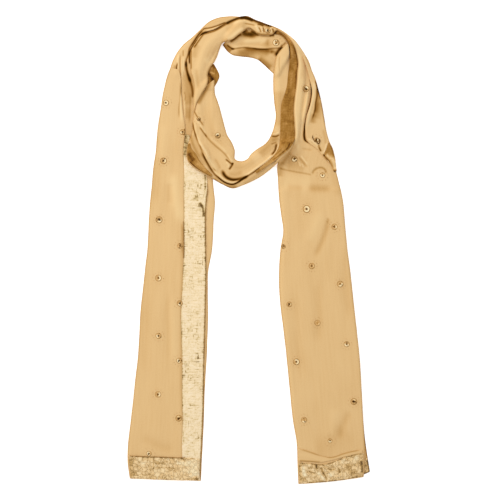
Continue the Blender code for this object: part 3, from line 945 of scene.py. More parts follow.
@dataclass(frozen=True)
class ZariReverse:
    """Reverse of zari tissue: the silk ground with only ties of gilt, so it is a dull brown with a
    fine check of threads."""

    name: str = "zari_reverse"
    thread_pitch: float = 2.6    # the real threads are 0.4 mm apart, too fine to show
    fleck: Point = (2.2, 3.0)
    blotch: Point = (7.0, 14.0)
    shades: Shades = (
        (0.00, "EFC88E"), (0.22, "D4A562"), (0.42, "B78645"), (0.55, "A2722F"), (0.72, "7E5019"),
        (0.88, "522F08"), (1.00, "301802"))

    def make(self) -> Material:
        """Build the material."""
        mix = Recipe(self.name, Space.CLOTH)
        warp = mix.threads(1.7 * self.thread_pitch, "X", 4.0)
        weft = mix.threads(self.thread_pitch, "Y", 4.0)
        fleck = mix.grains(self.fleck, 2.0, 0.6)
        place = mix.shade_and_pattern_place(0.49, (warp, 0.03), (weft, 0.06), (fleck, 0.34), (mix.grains(self.blotch), 0.42))
        return mix.dress(place, self.shades, mix.add("Math MULTIPLY_ADD", weft, 0.4, fleck), 0.0004, 0.6,
                         Roughness=0.6, Specular_IOR_Level=0.06)


@dataclass(frozen=True)
class Thread:
    """Twisted embroidery or sewing thread: a soft lustre, with painted shade between its strands."""

    name: str
    light: str
    deep: str
    twist: float = 0.9           # millimetres between turns of the strands
    patch: Point = (5.0, 5.0)

    def make(self) -> Material:
        """Build the material."""
        mix = Recipe(self.name, Space.OBJECT)
        strands = mix.threads(self.twist, "DIAGONAL", 1.5)
        mixed = mix.add("Math ADD", mix.add("Math MULTIPLY", strands, 0.6),
                          mix.add("Math MULTIPLY", mix.grains(self.patch), 0.4))
        return mix.dress(mixed, ((0.1, self.deep), (0.75, self.light)), strands, 0.0003, 0.5,
                         Roughness=0.6, Specular_IOR_Level=0.03)


@dataclass(frozen=True)
class Gilt:
    """Gilt plastic of a sequin or a bead: a thin metal coat in patches from pale to brown, shifted by
    the darkness that the mesh carries, which on a sequin holds a crescent of painted highlight."""

    name: str
    shades: Shades
    patch: Point = (2.4, 2.4)    # size of the worn patches, in millimetres

    def make(self) -> Material:
        """Build the material."""
        mix = Recipe(self.name, Space.OBJECT)
        patch = mix.grains(self.patch, 2.0, 0.6)
        place = mix.add("Math ADD", mix.darkness(), mix.add("Math MULTIPLY_ADD", patch, 0.5, -0.25))
        return mix.dress(place, self.shades, patch, 0.0003, 0.4, Roughness=0.45, Specular_IOR_Level=0.03)


def spun(make: Callable[..., object], *values: object) -> object:
    """A dataclass field whose default is a newly made finish."""
    return field(default_factory=lambda: make(*values).make())


@dataclass
class Wardrobe:
    """All the finishes of the stole, each made once."""

    cloth: Material = spun(Georgette)
    border: Material = spun(ZariTissue)
    end_border: Material = spun(CrushedZari)
    reverse: Material = spun(ZariReverse)
    pale_thread: Material = spun(Thread, "embroidery_thread_pale", "F0D09A", "C89C5E")
    brown_thread: Material = spun(Thread, "embroidery_thread_brown", "CFA05C", "A87A3A")
    dark_thread: Material = spun(Thread, "embroidery_thread_dark", "7C4E0E", "482A04")
    cord: Material = spun(Thread, "overlock_thread_brown", "B58A50", "7A5426")
    sequin: Material = spun(Gilt, "gilt_sequin", (
        (0.0, "FFE6B4"), (0.3, "F5D093"), (0.5, "E2B678"), (0.75, "BC8A46"), (1.0, "7E5316")))
    bead: Material = spun(Gilt, "bronze_bead", (
        (0.0, "D8A860"), (0.4, "8E5C1C"), (0.7, "522E04"), (1.0, "2A1400")))


# ---- the workbench

@dataclass
class Bench:
    """Where the stretches are laid down, with their heights and finishes."""

    ground: Ground = field(default_factory=Ground)
    wardrobe: Wardrobe = field(default_factory=Wardrobe)
    thin: float = 0.3            # a cell that is lower than this carries nothing
    share_on: float = 0.9        # share of a point's surroundings that carry it
    carriers: dict[Names, Pair] = field(default_factory=dict)

    def add(self, thing: Thing, slot: str) -> None:
        """Declare a piece to the frame, and report it."""
        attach(thing, BODY)
        LOG.info("%s: %d faces", thing.name, len(thing.data.polygons))

    def finish(self, stretch: Stretch, material: Material, nodes: Names, slot: str) -> None:
        """Args:
            stretch: a stretch that has been laid.
            material: its finish.
            nodes: CAD nodes that it stands for.
            slot: not used.
        """
        thing = stretch.build(material)
        self.add(thing, slot)
        if nodes:
            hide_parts(*nodes)

    def lay(self, stretch: Stretch, material: Material, nodes: Names, slot: str) -> None:
        """Lay a stretch down and finish it at once."""
        stretch.lay(self.ground)
        self.finish(stretch, material, nodes, slot)

    def lift(self, stretches: Names, points: Array, clear: float = 0.12) -> Pair:
        """Bend points to the cloth: each rises by the cloth's own height beneath it.

        Args:
            stretches: names of the stretches that carry the points.
            points: points in millimetres, with z measured from the cloth.
            clear: space between the cloth and z of 0.

        Returns:
            The points, and whether each lies on the cloth.
        """
        if stretches not in self.carriers:
            heights = self.ground.grow(self.ground.under(stretches), 1)
            on = 1 - self.ground.grow((heights < self.thin).astype(float), 1)
            self.carriers[stretches] = self.ground.soften(heights, 1), on
        height, on = (self.ground.read(grid, points[..., :2]) for grid in self.carriers[stretches])
        raised = points.copy()
        raised[..., 2] += height + clear
        return raised, on > self.share_on


# ---- left side

LEFT_TAIL = [TailRow(*row) for row in numbers("""
-380 -196.5 -106 -80.5 -79.5
-352 -199.2 -109.5 -79.5 -78
-322 -199 -110.3 -78 -76.5
-280 -194 -109.3 -76 -74.5
-247 -190.5 -110 -75 -73.5
-214 -187 -110 -75 -72
-181 -183 -110 -74 -70
-148 -180.5 -111 -73 -68.5
-99 -178 -112 -72 -67.5
-66 -174.5 -110 -71 -68
-33 -171 -108.5 -70.5 -67
0 -167 -107 -71 -61
50 -164.5 -107 -71.5 -58
78 -162.5 -107 -70.5 -56
99 -160.5 -107.5 -68 -58
132 -157.5 -107 -70 -62
165 -153 -108 -74 -71
201 -150 -105 -76 -77
231 -145 -109 -78 -80
""")]

# The strand that the left tail turns into, over the loop's outer left side.
LEFT_SHOULDER = sections("""
-144 231 -80.3 231 2.8
-140 262 -81 262 4.2
-135 281 -80 279 5.5
-130 297 -77 293 6.5
-125 312 -74 304 7
-117 327 -69 315 7
-107 339 -64 325 7
-96 348 -59 333 7
-82 361 -54 340 7
-67 375 -47 346 7
-51 382.5 -38 350 6.5
-31 385 -27 353 6
-15 384.5 -18 357 5.5
""")

# The left tail's upper plies run on over the shoulder and sink into it.
LEFT_TAIL_TIP = sections("""
-140.5 261 -111.5 261 1.8
-136.5 278 -112 275 1.2 0 -.3
-132.5 291 -113.5 288 .7 0 -1.2
-129 300 -116 297 .4 0 -2.6
""")

# Painted shade along the troughs and the folds beside the strand over the top, painted highlight on the
# ridges, and patches of painted shade.
# the deep plies that show between the left end and the loop, darkened by painted shade
LEFT_UNDER_CREASES = creases("""
# the shoulder's lengthwise folds
trough 1.2 1.5 .66 .22 -117,310 -118.5,302 -119.5,293 -122,286
trough 1.1 .6 .3 .22 -108,330 -108,318
ridge 2.2 1.1 -.2 .22 -115,324 -116,312 -116,300 -117,286
ridge 1.7 1 -.2 .22 -110,320 -110,300 -109,282
ridge 1.5 .8 -.16 .22 -106,320 -107,303 -107,291
trough 1.5 1.1 .26 .22 -112,324 -113,308 -112.6,282
trough 1.2 .8 .2 .22 -112,284 -112,262 -112,246
# the two folds that run beside the strand over the loop's top, and the cord of cloth between
trough 1.1 1 .6 .1 -37,375.5 -43,373 -50,370 -58,367.3 -66,365.4 -73,364.7 -77.5,361.4
trough 1.35 1 .6 .08 -74,363.6 -78,360.4 -82.2,355.6 -86.4,349.6 -90.8,342.6 -94.2,337.6 -97.8,331.6
    -99,325 -101,318 -103,311 -103.5,300
ridge 1.5 .8 -.2 .1 -48,369 -56,364.8 -63,362.2 -71,360.7 -77,358.2
trough 1.5 1.2 .85 .05 -15,383.6 -23,380 -33,375.8 -41,370.8 -48.5,366.4 -57,361.8 -66.5,359
    -75.5,356.5 -79.5,351 -84,345 -89,338 -94.5,331.5 -97.5,324 -97.6,314 -97,304
trough 2.1 1.6 .85 -103.5,313 -102.7,300 -100.5,290 -98,283 -95.5,275
trough 2.2 1.2 .55 .15 -99,286 -95.5,275 -93.5,268 -92.3,259 -92,249
wash 6 .06 .22 -86,362 -66,373 -45,381 -25,385
wash 4.5 .4 .15 -93,333 -86,345 -78,355 -66,361
wash 3 .2 -121,306 -124,290
# the deep plies that show between the left end and the loop
wash 8 .24 -102,296 -100,272 -100,236
wash 8 .12 .15 -100,240 -101,208 -102,182 -103,158
wash 6 .14 -102,248 -101.5,232 -102,214
trough 1.1 .5 .25 .22 -106,262 -105,252 -106,244
ridge 1.2 .4 -.25 .15 -105.5,262 -106.3,247 -105.5,228 -106.3,214 -105.5,201
trough 2 .6 .16 -97,262 -96,245 -97,226 -98,205
""")
# Painted shade in the troughs, painted highlight on the ridges, and painted shadow along the long border's
# seam.
LEFT_TAIL_CREASES = creases("""
ridge 8 1.1 -.16 .22 -125,132 -120,83 -110,41
trough 6 .8 .07 .22 -131,112 -129,74
ridge 8 .9 -.05 .22 -124,-70 -123,-198
trough 6 .7 .05 .22 -134,-60 -132,-190
trough 7 .8 .06 .22 -150,205 -153,130 -155,70
ridge 9 .8 -.04 .22 -140,210 -143,140
trough 9 .8 .05 .22 -168,-20 -170,-120 -174,-210
trough 8 .7 .06 .22 -180,-305 -150,-322 -120,-330
ridge 2.4 .5 -.2 .22 -111,262 -112,246 -111,228 -110,208
trough 1.3 .4 .3 -112.5,280 -112.3,265 -113.3,250 -115,234 -115,214
trough .9 .4 .75 -106,201 -106,195 -107.3,188
wash 2.2 .22 -110.5,48 -109,20 -109,-10
wash 3 .1 .1 -109,20 -111,-90 -112,-200 -110,-290
""")


def tail_rows(near: str, far: str, stack: float, first: int = 0, last: int | None = None,
              inset: float = 0.0, outset: float = 0.0) -> Rows:
    """Sections between two of the left tail's named edges.

    Args:
        near: name of the edge on the left.
        far: name of the edge on the right.
        stack: height of the plies.
        first: first row of the table.
        last: row of the table to stop before.
        inset: how far the near edge moves right.
        outset: how far the far edge moves right.

    Returns:
        The sections, from the tail's end upwards.
    """
    return tuple(Section(getattr(row, near) + inset, row.y, getattr(row, far) + outset, row.y, stack)
                 for row in LEFT_TAIL[first:last])


LEFT_BORDER_TIP = sections("""
-106.5 178 -92 176 1.2
-105 191 -99 190 .8 0 -.2
""")
# Stains and specks of the long border, with painted shade over its top where the loop lies above it, and
# thin lines of painted shadow along its two seams.
LEFT_BORDER_MARKS_AND_SHADE = creases("""
wash 3.4 .16 -93,90 -87,87 -80,82
wash 2.6 .8 .3 -80.4,80 -78.6,75 -77,69
wash 2 .9 .15 -77.2,75 -75.8,68 -74.8,60 -74.2,54
wash 1.4 .8 .4 -80.5,77.5 -78.5,74.5
wash 2.6 .3 .3 -88,85 -82,82
wash 1.2 .7 .1 -96,142 -87,136.5 -78,131 -73,127.5
wash 1.1 .8 .03 -72.5,128 -72,118 -72,99
wash 7 .58 .12 -105,196 -104,180 -103,166 -103,152
wash 1.6 .6 .5 -85,108 -83,104
wash 1.6 .7 .5 -76.5,110 -80,105
wash 1.8 .6 .5 -80.5,103.5 -79.5,99.5
wash 1.2 .5 .4 -92,95.5 -85,94.5 -80,92
wash 1.3 .5 .4 -91,90 -86,87.5 -82,89
wash 1.1 .4 .4 -93,84.5 -85,84
wash 2 .35 .5 -101,101 -96,101
wash 2 .3 .5 -94,98.5 -90,96.5
wash 2.2 .28 .4 -101,114 -97,113.5
wash 2.6 .3 .4 -94,115.5 -88,113
wash 1.8 .4 .5 -106,144 -103.5,142.5
wash 2.2 .3 .4 -95,82 -86,86
wash 1.4 .75 .6 -92,-124 -91,-127
wash 1.4 .75 .6 -100.5,-193 -99,-198
wash .9 .4 .02 -106.3,130 -106.2,60 -106.2,0 -107.8,-33 -109.3,-66 -111.2,-99 -109.3,-181
    -109.2,-247 -108,-322
wash .9 .4 .02 -68.8,99 -71.3,78 -72.2,50 -71.8,0 -71.3,-33 -71.8,-66 -73.8,-148
    -75.8,-247 -78.8,-322 -81,-375
trough 1.7 .6 .7 .15 -97,-367 -92.5,-372 -87.5,-378
wash 1.5 .4 .3 -103,-344 -97,-352
""")
LEFT_END_BORDER = sections("""
-194.6 -375.5 -197.7 -338.8 1.5
-170 -376.9 -172 -340.3 1.5
-140 -377.9 -140 -341.3 1.5
-118 -378.7 -119 -342.2 1.5
-99.5 -379.2 -101 -342.4 1.5
-83 -379.7 -82 -344.5 1.5
""")
# Painted shade in the crushed border's creases and a thin line of painted shadow along its top edge, with
# paler and darker patches.
LEFT_END_MARKS_AND_SHADE = creases("""
wash 6 .42 .05 -195,-342 -194,-373
wash .8 .6 .03 -197,-339.3 -186,-340.5 -160,-341 -139,-341.7 -119,-342.6 -104,-342.6
trough 1.1 .5 .5 .1 -157,-341 -157,-362
trough 1.1 .5 .4 -156,-351.5 -147,-351 -139,-351
trough 1.1 .5 .4 -155,-357.5 -136,-358 -119,-359
trough 1.1 .5 .35 -186,-370.5 -170,-369.5 -157,-369
wash 1.4 .7 -138,-378 -131,-378
wash 5 -.35 -120,-349 -106,-351
wash 12 -.6 .1 -96,-344 -92,-360 -88,-374
wash 1.8 .6 -97,-367 -92.5,-371
wash 1.8 .7 -89,-375 -83,-379
trough 1.1 .5 .45 -116,-343 -108,-346 -101,-352
trough 1.2 .5 .45 -140,-346 -133,-350
wash 2.4 -.4 .3 -180,-352 -166,-348
""")


@dataclass
class LeftTail:
    """The left hanging end: its under plies and the shoulder that they turn into, its upper plies,
    and the gold borders down its side and across its end."""

    ply_stack: float = 2.0
    border_stack: float = 1.5
    seam: float = 0.3
    bottom: Point = (-376.3, -380.2)     # Y of the end's left and right corners

    def build(self, bench: Bench) -> None:
        """Lay the left side down, from the bottom plies up."""
        under = Stretch(
            "left_under_plies",
            (Section(-194.5, self.bottom[0] + 0.6, -79.8, self.bottom[1], self.ply_stack),)
            + tail_rows("left", "under", self.ply_stack, 1, -1, inset=1.5, outset=-self.seam)
            + LEFT_SHOULDER,
            creases=LEFT_UNDER_CREASES, columns=116, fine=0.9, rounding=9.0, edge_share=0.45, plies=3,
            lip=0.6, crinkle=0.28, swell=0.5, edge_shade=(0.3, 0.15), seed=11)
        bench.lay(under, bench.wardrobe.cloth, ("left_tail_under", "left_shoulder"), "cloth")
        border = Stretch(
            "left_long_border",
            (Section(-105.7, self.bottom[1] + 0.7, -80.8, self.bottom[1], self.border_stack),)
            + tail_rows("seam", "border", self.border_stack, 1, -2, inset=self.seam, outset=-self.seam)
            + LEFT_BORDER_TIP,
            ("left_under_plies",), LEFT_BORDER_MARKS_AND_SHADE, columns=30, calm=1.8, rounding=1.5,
            edge_share=0.6, plies=1, lip=0.25, crinkle=0.18, swell=0.25, cell=(9.0, 14.0),
            edge_shade=(0.0, 0.2), seed=21)
        bench.lay(border, bench.wardrobe.border, ("left_border",), "border")
        tail = Stretch(
            "left_tail_plies",
            (Section(-195.8, self.bottom[0], -106.3, self.bottom[1] + 0.7, self.ply_stack),)
            + tail_rows("left", "seam", self.ply_stack, 1, outset=-self.seam) + LEFT_TAIL_TIP,
            ("left_under_plies",), LEFT_TAIL_CREASES, columns=62, rounding=2.5, edge_share=0.55,
            plies=2, lip=0.45, crinkle=0.16, swell=0.55, cell=(9.0, 80.0), edge_shade=(0.25, 0.0), seed=31)
        bench.lay(tail, bench.wardrobe.cloth, ("left_tail",), "cloth")
        end = Stretch(
            "left_end_border_tissue", LEFT_END_BORDER, ("left_tail_plies", "left_long_border"),
            LEFT_END_MARKS_AND_SHADE, columns=34, calm=1.6, rounding=1.2, edge_share=0.6, plies=1, lip=0.3,
            crinkle=0.35, swell=0.3, cell=(8.0, 9.0), seed=41)
        bench.lay(end, bench.wardrobe.end_border, ("left_end_border",), "border")


# ---- the neck loop

LOOP_INNER = sections("""
-9 376 -42.5 338.5 4
-4 375 -36.5 330 5
5 373 -28 323 5.5
15 370 -14 320 6
27 366 0 318.6 6
39 363 14 315 6
50 358 25 306.5 6
61 349 34 298 5.5
69 333 44 289 5
""")
# Painted shade below the fold along its middle and in its troughs, painted shadow in the pocket, and
# painted highlight on its ridges.
# the painted shadow in the pocket under the strand over the top
LOOP_INNER_CREASES = creases("""
# the fold along its middle
lap 1.3 1.5 .3 .1 -31,331 -21,332.5 -8,334 7,332.5 14,331.5 27,331 36,332 46,333 57,334
wash 3.4 .4 -12,332.5 1,331 13,329.5 27,328 41,327
wash 1.3 .26 4,332.6 20,331 34,331
wash 7 .16 .3 -20,325 -4,323 14,322
ridge 4 1 -.16 .22 -12,343 4,344 22,345 34,346
trough 4 1 .1 .22 -22,337 -6,339 10,339.5 26,340
trough 2.4 2 .9 58,335 53,332 49,328.5 46.5,323 45.5,317
trough 1.2 1 .5 .25 62,343 57,338 51,334.5
wash 1.7 .45 .4 -30,331 -22,331.5
wash 4.5 .5 .15 -45,341 -38,335 -28,327
wash 4 .14 -31,325 -14,322 4,320
wash 5 .24 .15 -24,328 -4,326.5 20,324 36,321
wash 7 .2 24,345 32,335 40,322
wash 5 .42 14,317 26,309 38,298
# the pocket under the strand over the top
wash 3 .5 2,361 7,358.5 12,355.5 18,354
wash 4.6 .85 .4 -18,353.8 -9,355.4 -1,354.8 5,353.6 16,351.6
wash 4 .22 -3,360 2,359 8,356.5 14,354
wash 2.4 .5 .22 -12,358.5 -6,360.8 -1,363
ridge 1.2 .9 -.2 .15 -2,361.8 3,358.8 8,355.7 12,354
wash 2.4 .8 .15 -32,342.4 -27,345.6 -22,349 -17,352.8 -12,356.4
trough 1.3 .8 .6 -37,339 -31,334 -24,330
wash 1.4 .3 .15 11,354.5 20,352.5 30,352 38,352
wash 2.4 .14 .25 31,349 31,336
wash 2.2 .8 .25 33,353.4 38.5,353.8 43,353
wash 3 .36 35,326 41,326 45,321
wash 6 .06 34,322 40,308 44,296
""")

LOOP_RIGHT = sections("""
73 343 60 337 4
79 331 53 329 5
86 319 46 319 6
89 304 43 305 6.5
89 284 41 287 7
87 261 41 264 7
84 238 42.8 241 7
82 218 45 221 7
80 197 42 203 7
""")
LOOP_BOTTOM = sections("""
75 178 35.5 186 7
68 165 31 179 7
48 145 25 173 7
32 131 15 167 7
13 118 5 159 7
-10 107.5 -3 149 7
-27 102.5 -13 146 7
-43.5 109 -23.5 150 7
""")
LOOP_LEFT = sections("""
-61 119 -24 165 7
-76 127 -29 178 7
-89.5 135.5 -36.5 190 7
-100.5 147.5 -40 201.5 7
-102 162 -43 213 7
-98.5 178 -46 224.5 7
-93 195 -49 236 7
-92 213 -53 248 6.5
-89.5 230 -56.5 258 6
-86 248 -57 269 5
-80 264 -57 280 4
""")
# Painted shadow at the feet of the laps and along the troughs, painted highlight on the ridges, and patches
# of painted shade.
LOOP_FRONT_CREASES = creases("""
# down the right strand
ridge 5 1 -.05 .22 54,326 49,300 48,265 49,235 49,205
wash 6 -.08 58,322 56,305 53,285
trough 1.2 .6 .2 .22 51,322 50,305 51,290
trough 1.2 .9 .6 .25 36,188 44,187 52,190.5
ridge 1.6 .9 -.26 .3 37,191.5 45,191 52,195
wash 3 .16 .3 36,181 44,182 51,185
trough 1.1 .7 .3 .25 36,174 42,176 47,178.5
trough 1.7 1.5 .8 .22 46,177 45,171 43.5,164.5 40,159 35.5,155.5
ridge 1.5 1 -.32 50,176 47,166 41,157 30,149
wash 9 .16 .15 50,266 50,235 50,200
wash 8 .2 .15 46,196 32,172 15,155
# the roll along the bottom
lap 1.2 1.3 .45 .25 -94,218 -92,208 -89,195 -84,181 -80,171 -73,154 -65,139
lap 1.3 2.2 .62 .07 -76,162 -73,154 -65,139 -56,125.5 -46,116.5
    -37,111 -27,108.6 -18,112 -8,119 3,126 12,132 28,142 42,152 56,161.5 67,172
trough 1.2 .6 .6 -57,127.6 -46,116.5 -37,110.8 -27,108.6 -18,112 -8,119 3,126
ridge 1.4 1 -.15 .08 -50,128.5 -45,121 -37,114.6 -27,112.2 -17,114 -6,119.5 8,131 24,143.5 40,156
trough 2.6 2.2 1 .16 -44.5,134 -42.5,128 -39.5,122.6 -34.5,118.4 -27,115.8 -17,116.2 -7,119.4 1,122.8
ridge 7 1 -.05 .22 -14,137 8,150 26,162
wash 4 .16 .25 -36,127 -22,124 -8,129
wash 3 .34 .15 -60,120 -50,111 -40,106 -27,103.5 -17,106
wash 3 .12 .1 -10,109 0,114 14,124 30,136
wash 9 .12 -30,138 -10,138 12,150
# up the left strand
wash 3 .3 -80,163 -68,143 -57,126
ridge 1.5 1.1 -.45 .12 -87,190 -79,173 -74,165 -68,154 -62,142 -55,131
lap 1.2 1.4 .5 .1 -81,176 -76,167 -72,161 -66,150 -60,139 -53,128
trough 1.3 .7 .3 -92,213 -90.5,200 -87,188 -81.5,176
wash 2.6 .22 .15 -97,196 -94,180 -88,165 -80,150 -70,135
trough 1.1 .9 .5 -91,231 -86.5,222 -79,211 -73,203
trough 1.2 .8 .35 -82,203 -75,194 -68,184.5
ridge 1.8 1 -.26 -87,219 -82,209 -76,199 -70,189
trough 1.3 .9 .34 .12 -83,207 -75,195 -67,183.5 -55,171.5 -43,161.5 -33,150.5 -28.5,144
ridge 2.4 .9 -.14 -64,187 -53,176 -42,166 -34,158
trough 1.3 1.3 .65 -39,150.5 -33,145.5 -28,142 -25.5,144.5
trough 1.6 1.3 .75 -25.5,145 -27,141 -29,137.5 -33,131.5
ridge 1.4 1 -.28 .25 -36,158 -30,149 -24,145
ridge 1.4 .9 -.24 .25 -38,146 -33,140 -34,134
trough 2.2 .7 .16 .25 -57,152 -50,141 -46,131
wash 3.4 .4 .1 -64,282 -67,270 -73,260 -79,249 -85,239
wash 8 .1 .22 -95,196 -88,168 -78,148
ridge 6 1.1 -.05 .22 -64,242 -58,212 -47,184
wash 11 .08 -68,246 -62,214 -54,186 -44,160
""")

LOOP_RIGHT_REVERSE = sections("""
41 362.5 38 354.5 .8
49.5 362 46 355.5 1
59 358 53 353.5 1.1
68.2 350.8 60 347.2 1.1
76 342 64.5 339.5 1.1
81 332 66.3 330 1.1
85 316 67 313 1.1
86 287 64.5 286 1.1
85 269 62.5 269 1.1
83 256 59 256 1.1
81 241 53.8 240.5 1.1
80 225 52.7 224.6 1.1
79 207 52 207 1.1
76 184 51.5 187 1.1
68 168.5 50 172 .9
49 152 42.5 157 .8
30 138 26.5 142 .7
13 126 10.5 129 .5
""")
# Lines and patches of painted shade, a painted highlight along the edge where it turns under the loop's
# bottom, and paler patches.
# the red-brown start, between lines of painted shade
LOOP_RIGHT_REVERSE_CREASES = creases("""
# the red-brown start, between dark lines
trough 1.3 .6 .5 .12 46,357.5 52,356 59,350.5 64.5,341.5 66.5,332 67.3,320
wash 3 .85 .25 38,357 42,358.5 47,360
wash 2.5 .8 .3 38,355 41,357 45,359.5
wash 4 -.22 52,361 62,356 72,346
wash 3 .24 .15 66,308 65.5,288 65,264
wash 1.8 .75 .15 60,340 64,336 66.4,327 66.6,312
wash 4.5 .2 .15 66,272 63,240 61,206
wash 2 .3 .3 80,309 81,293
wash 2.2 -.2 52,359.5 60,355 67,347.5 72,338
wash 3 -.3 .1 56,358 66,351 74,345.5 79,334
wash 2.8 -.22 69,336 71,324 72,312
wash 2.2 .35 .15 72,341 76,331 79.5,319 81,307 81,299
wash 2.4 .3 .15 79,300 78,280 78,262
wash 4 -.2 71,298 69,280 68,262
wash 3.4 .06 .12 73,258 72,240 73,215 74,195
wash 3.4 -.2 60,240 60,220 61,205
wash 2 -.25 .3 55,262 66,259
wash 2.2 .25 .3 53,214 64,212 76,213
# where it turns under the loop's bottom
wash 2.2 .3 .1 52,176.5 64,175.5 76,176
wash 9 -.4 .06 62,166 50,157 34,146 16,133
trough 1.2 .5 .7 .1 68,177 64,168 57,161 48,154 38,147
wash 1.2 -.4 .1 66,163 57,156.5 48,149.5 38,142
wash 1.6 .35 55,166 46,158 34,149
""")
LOOP_LEFT_REVERSE = sections("""
-62 120.5 -60 123.5 .7
-76 128.5 -71 134.5 .9
-88.5 136.5 -80.5 146.5 1
-99.8 148 -88 159 1
-101.3 158 -94 166.5 1
-100 174 -97 175.5 .6
""")
# Painted highlight along its ridge, with darker and paler patches.
LOOP_LEFT_REVERSE_CREASES = creases("""
wash 4 .6 .15 -99,161 -96,153 -90,145
wash 3 -.4 -88,144 -80,139 -68,129
wash 1.2 .6 .1 -98,147 -88,136.5 -76,128 -62,120
ridge 1.4 .5 -.2 -94,158 -86,149 -78,141
""")
LOOP_FLAP = sections("""
-66 305 -58 306.5 3
-71 297 -52.5 297 3.5
-72 287 -49 287 4
-70 277 -52 278 3.5
-67 268 -57 269.5 3
""")
# Painted shade darkens the flap under the strand over the top, most at its top and left, and its ridges
# carry painted highlight.
LOOP_FLAP_CREASES = creases("""
wash 3 .6 -61,305.5 -58,303.5 -54.5,299
wash 3 .75 -67.5,294 -65,289.5 -62,284 -58.5,278
wash 3.6 .3 -59,285 -56,275
wash 6 .12 -59,300 -55,289 -58,279
ridge 1.8 .9 -.6 -65,294.5 -61,292 -55,289.5
ridge 1.6 .6 -.25 .3 -63,301 -59,298
wash 1.6 .12 -52.5,296 -50,288 -52,281
""")

# The strand over the loop's top, which runs on down the right side as the right tail.
LOOP_TOP = sections("""
-91 228 -90 229.5 .6 0 -1.6
-90.6 237 -87 240 1.4 0 -.6
-91 247 -81.5 250.5 2.6
-90.3 256 -76 260.5 3.6
-89.5 268 -69.5 271 4.6
-91.5 281 -67.5 281.5 5.4
-95 293 -68 290 6
-95.7 306 -64 300.5 6
-96 319 -58 309 6
-93.5 330.5 -52.5 320 6
-87 341 -48.5 332 6
-78.5 352.3 -43 341.5 6
-66 358 -36 343.5 6
-51.5 363 -26 347.5 6
-38.5 371.6 -17 354.3 6
-20.5 381.5 -9 360 6
-4 385.5 0 365.3 6
10 379.7 8.5 360.5 6
20 376 16 355.5 5.5
31 371.7 30 354 5.2
39 368.8 39 355.5 5
46 365.5 45 361.5 4.6
55 360.6 53.6 358.2 4.4
""")
RIGHT_TAIL = sections("""
65 353.7 63.4 351.8 4.4
74.2 345.5 70.6 342.8 4.2
81.3 337 76 333 4.2
91 324 79.5 321 4
99 310 81.5 307 4
104 293.5 80 293 4
110 273.5 79 274 4
116 251 76 251 4
121 228 74 230 4
124.8 203 75.5 206 3.5
131 180 75 183 3
139 157 59 162 2.5
142.5 135 48 143 2.2
147 116 48.5 116 2.2
154.5 83 50.5 83 2.2
157 58 53.5 60 2.2
159 33 57 33 2.2
162.5 0 52.5 0 2.2
167.5 -41 50 -41 2.2
172.5 -87 52 -87 2.2
177.5 -132 57.5 -132 2.2
182.5 -181 63 -181 2.2
185.5 -231 68 -231 2.2
188 -280 73 -280 2.2
190.5 -326 80 -325 2.2 1
190.5 -348 80.5 -349 2.2 1.5
188.8 -373.8 82 -385.3 2.2 1.6
""")
# Painted shade along the back edge, the troughs and the gathers, painted highlight on the ridges, and paler
# patches of painted light where the edge rounds over.
# the painted shade along the back edge of the top
LOOP_TOP_CREASES = creases("""
ridge 7 1.6 -.05 .22 -28,366 -52,352 -72,330 -80,300 -83,275
wash 1.5 .6 .06 -31,374.8 -39,370 -48,364.2 -56,360 -66,357 -74,354.5 -78.3,349.5 -82.5,343.5
    -87,337 -91.5,331
wash 1.3 .4 .1 -94.5,330 -95,320 -94.6,308 -94.5,296
trough 5 .6 .03 .22 -54,336 -62,325 -70,310
wash 5 -.12 .22 -57,320 -64,314 -74,309
wash 4.5 .14 -82,339 -88,328 -90,314
wash 4 -.12 58,360 68,351 77,340 86,324
# the dark back edge along the top
wash 2.8 .9 .06 -38,371.8 -31,375.4 -23,379 -14,382 -8,383.7 0,381.6 11,377.1 23,372.4 34,369 39,367.3
wash 1.1 .4 .1 30,370 40,367 48,363
wash 2.4 .7 -16,379.6 -9,381 0,378.8 8,375.6
ridge 2.6 .8 -.2 -28,371 -16,376 -4,378 8,374
trough 1.2 .9 .35 -8,372.5 2,371 11,369
wash 1.3 .6 13,371.3 19,370.3 25,367.5
wash 8 .08 .15 -40,360 -22,369 -2,373
# the gathers beside it
wash 3 -.26 .12 -36,345 -27,350 -18,358 -8,364
wash 1.4 .35 0,365 6,361 12,357
ridge 1.6 1.3 -.4 11,370 14,364 18,358
trough 1.2 1.2 .45 .25 16,367 19,361 20,356.5
ridge 1.2 1 -.35 .25 20,367 22,361 23,357
trough 1.1 1.3 .65 .25 23,367.5 24.5,362 25.5,356.5
ridge 1.1 1 -.4 .25 26.5,366 28,361 29,357
trough 1.1 1.3 .6 .25 30,365.5 31.5,361 32.5,356
ridge 1.2 1.1 -.4 .25 34.5,366 36,361 37,357
trough 1.3 1.3 .75 .25 38.5,365 40,361 41,357
wash 1.3 .22 .15 11,357.3 20,355.4 30,355 37,355.5
wash 4 .12 -47,344 -36,345 -28,349
trough 3 .8 .1 .22 -86,300 -84,280 -82,262
""")
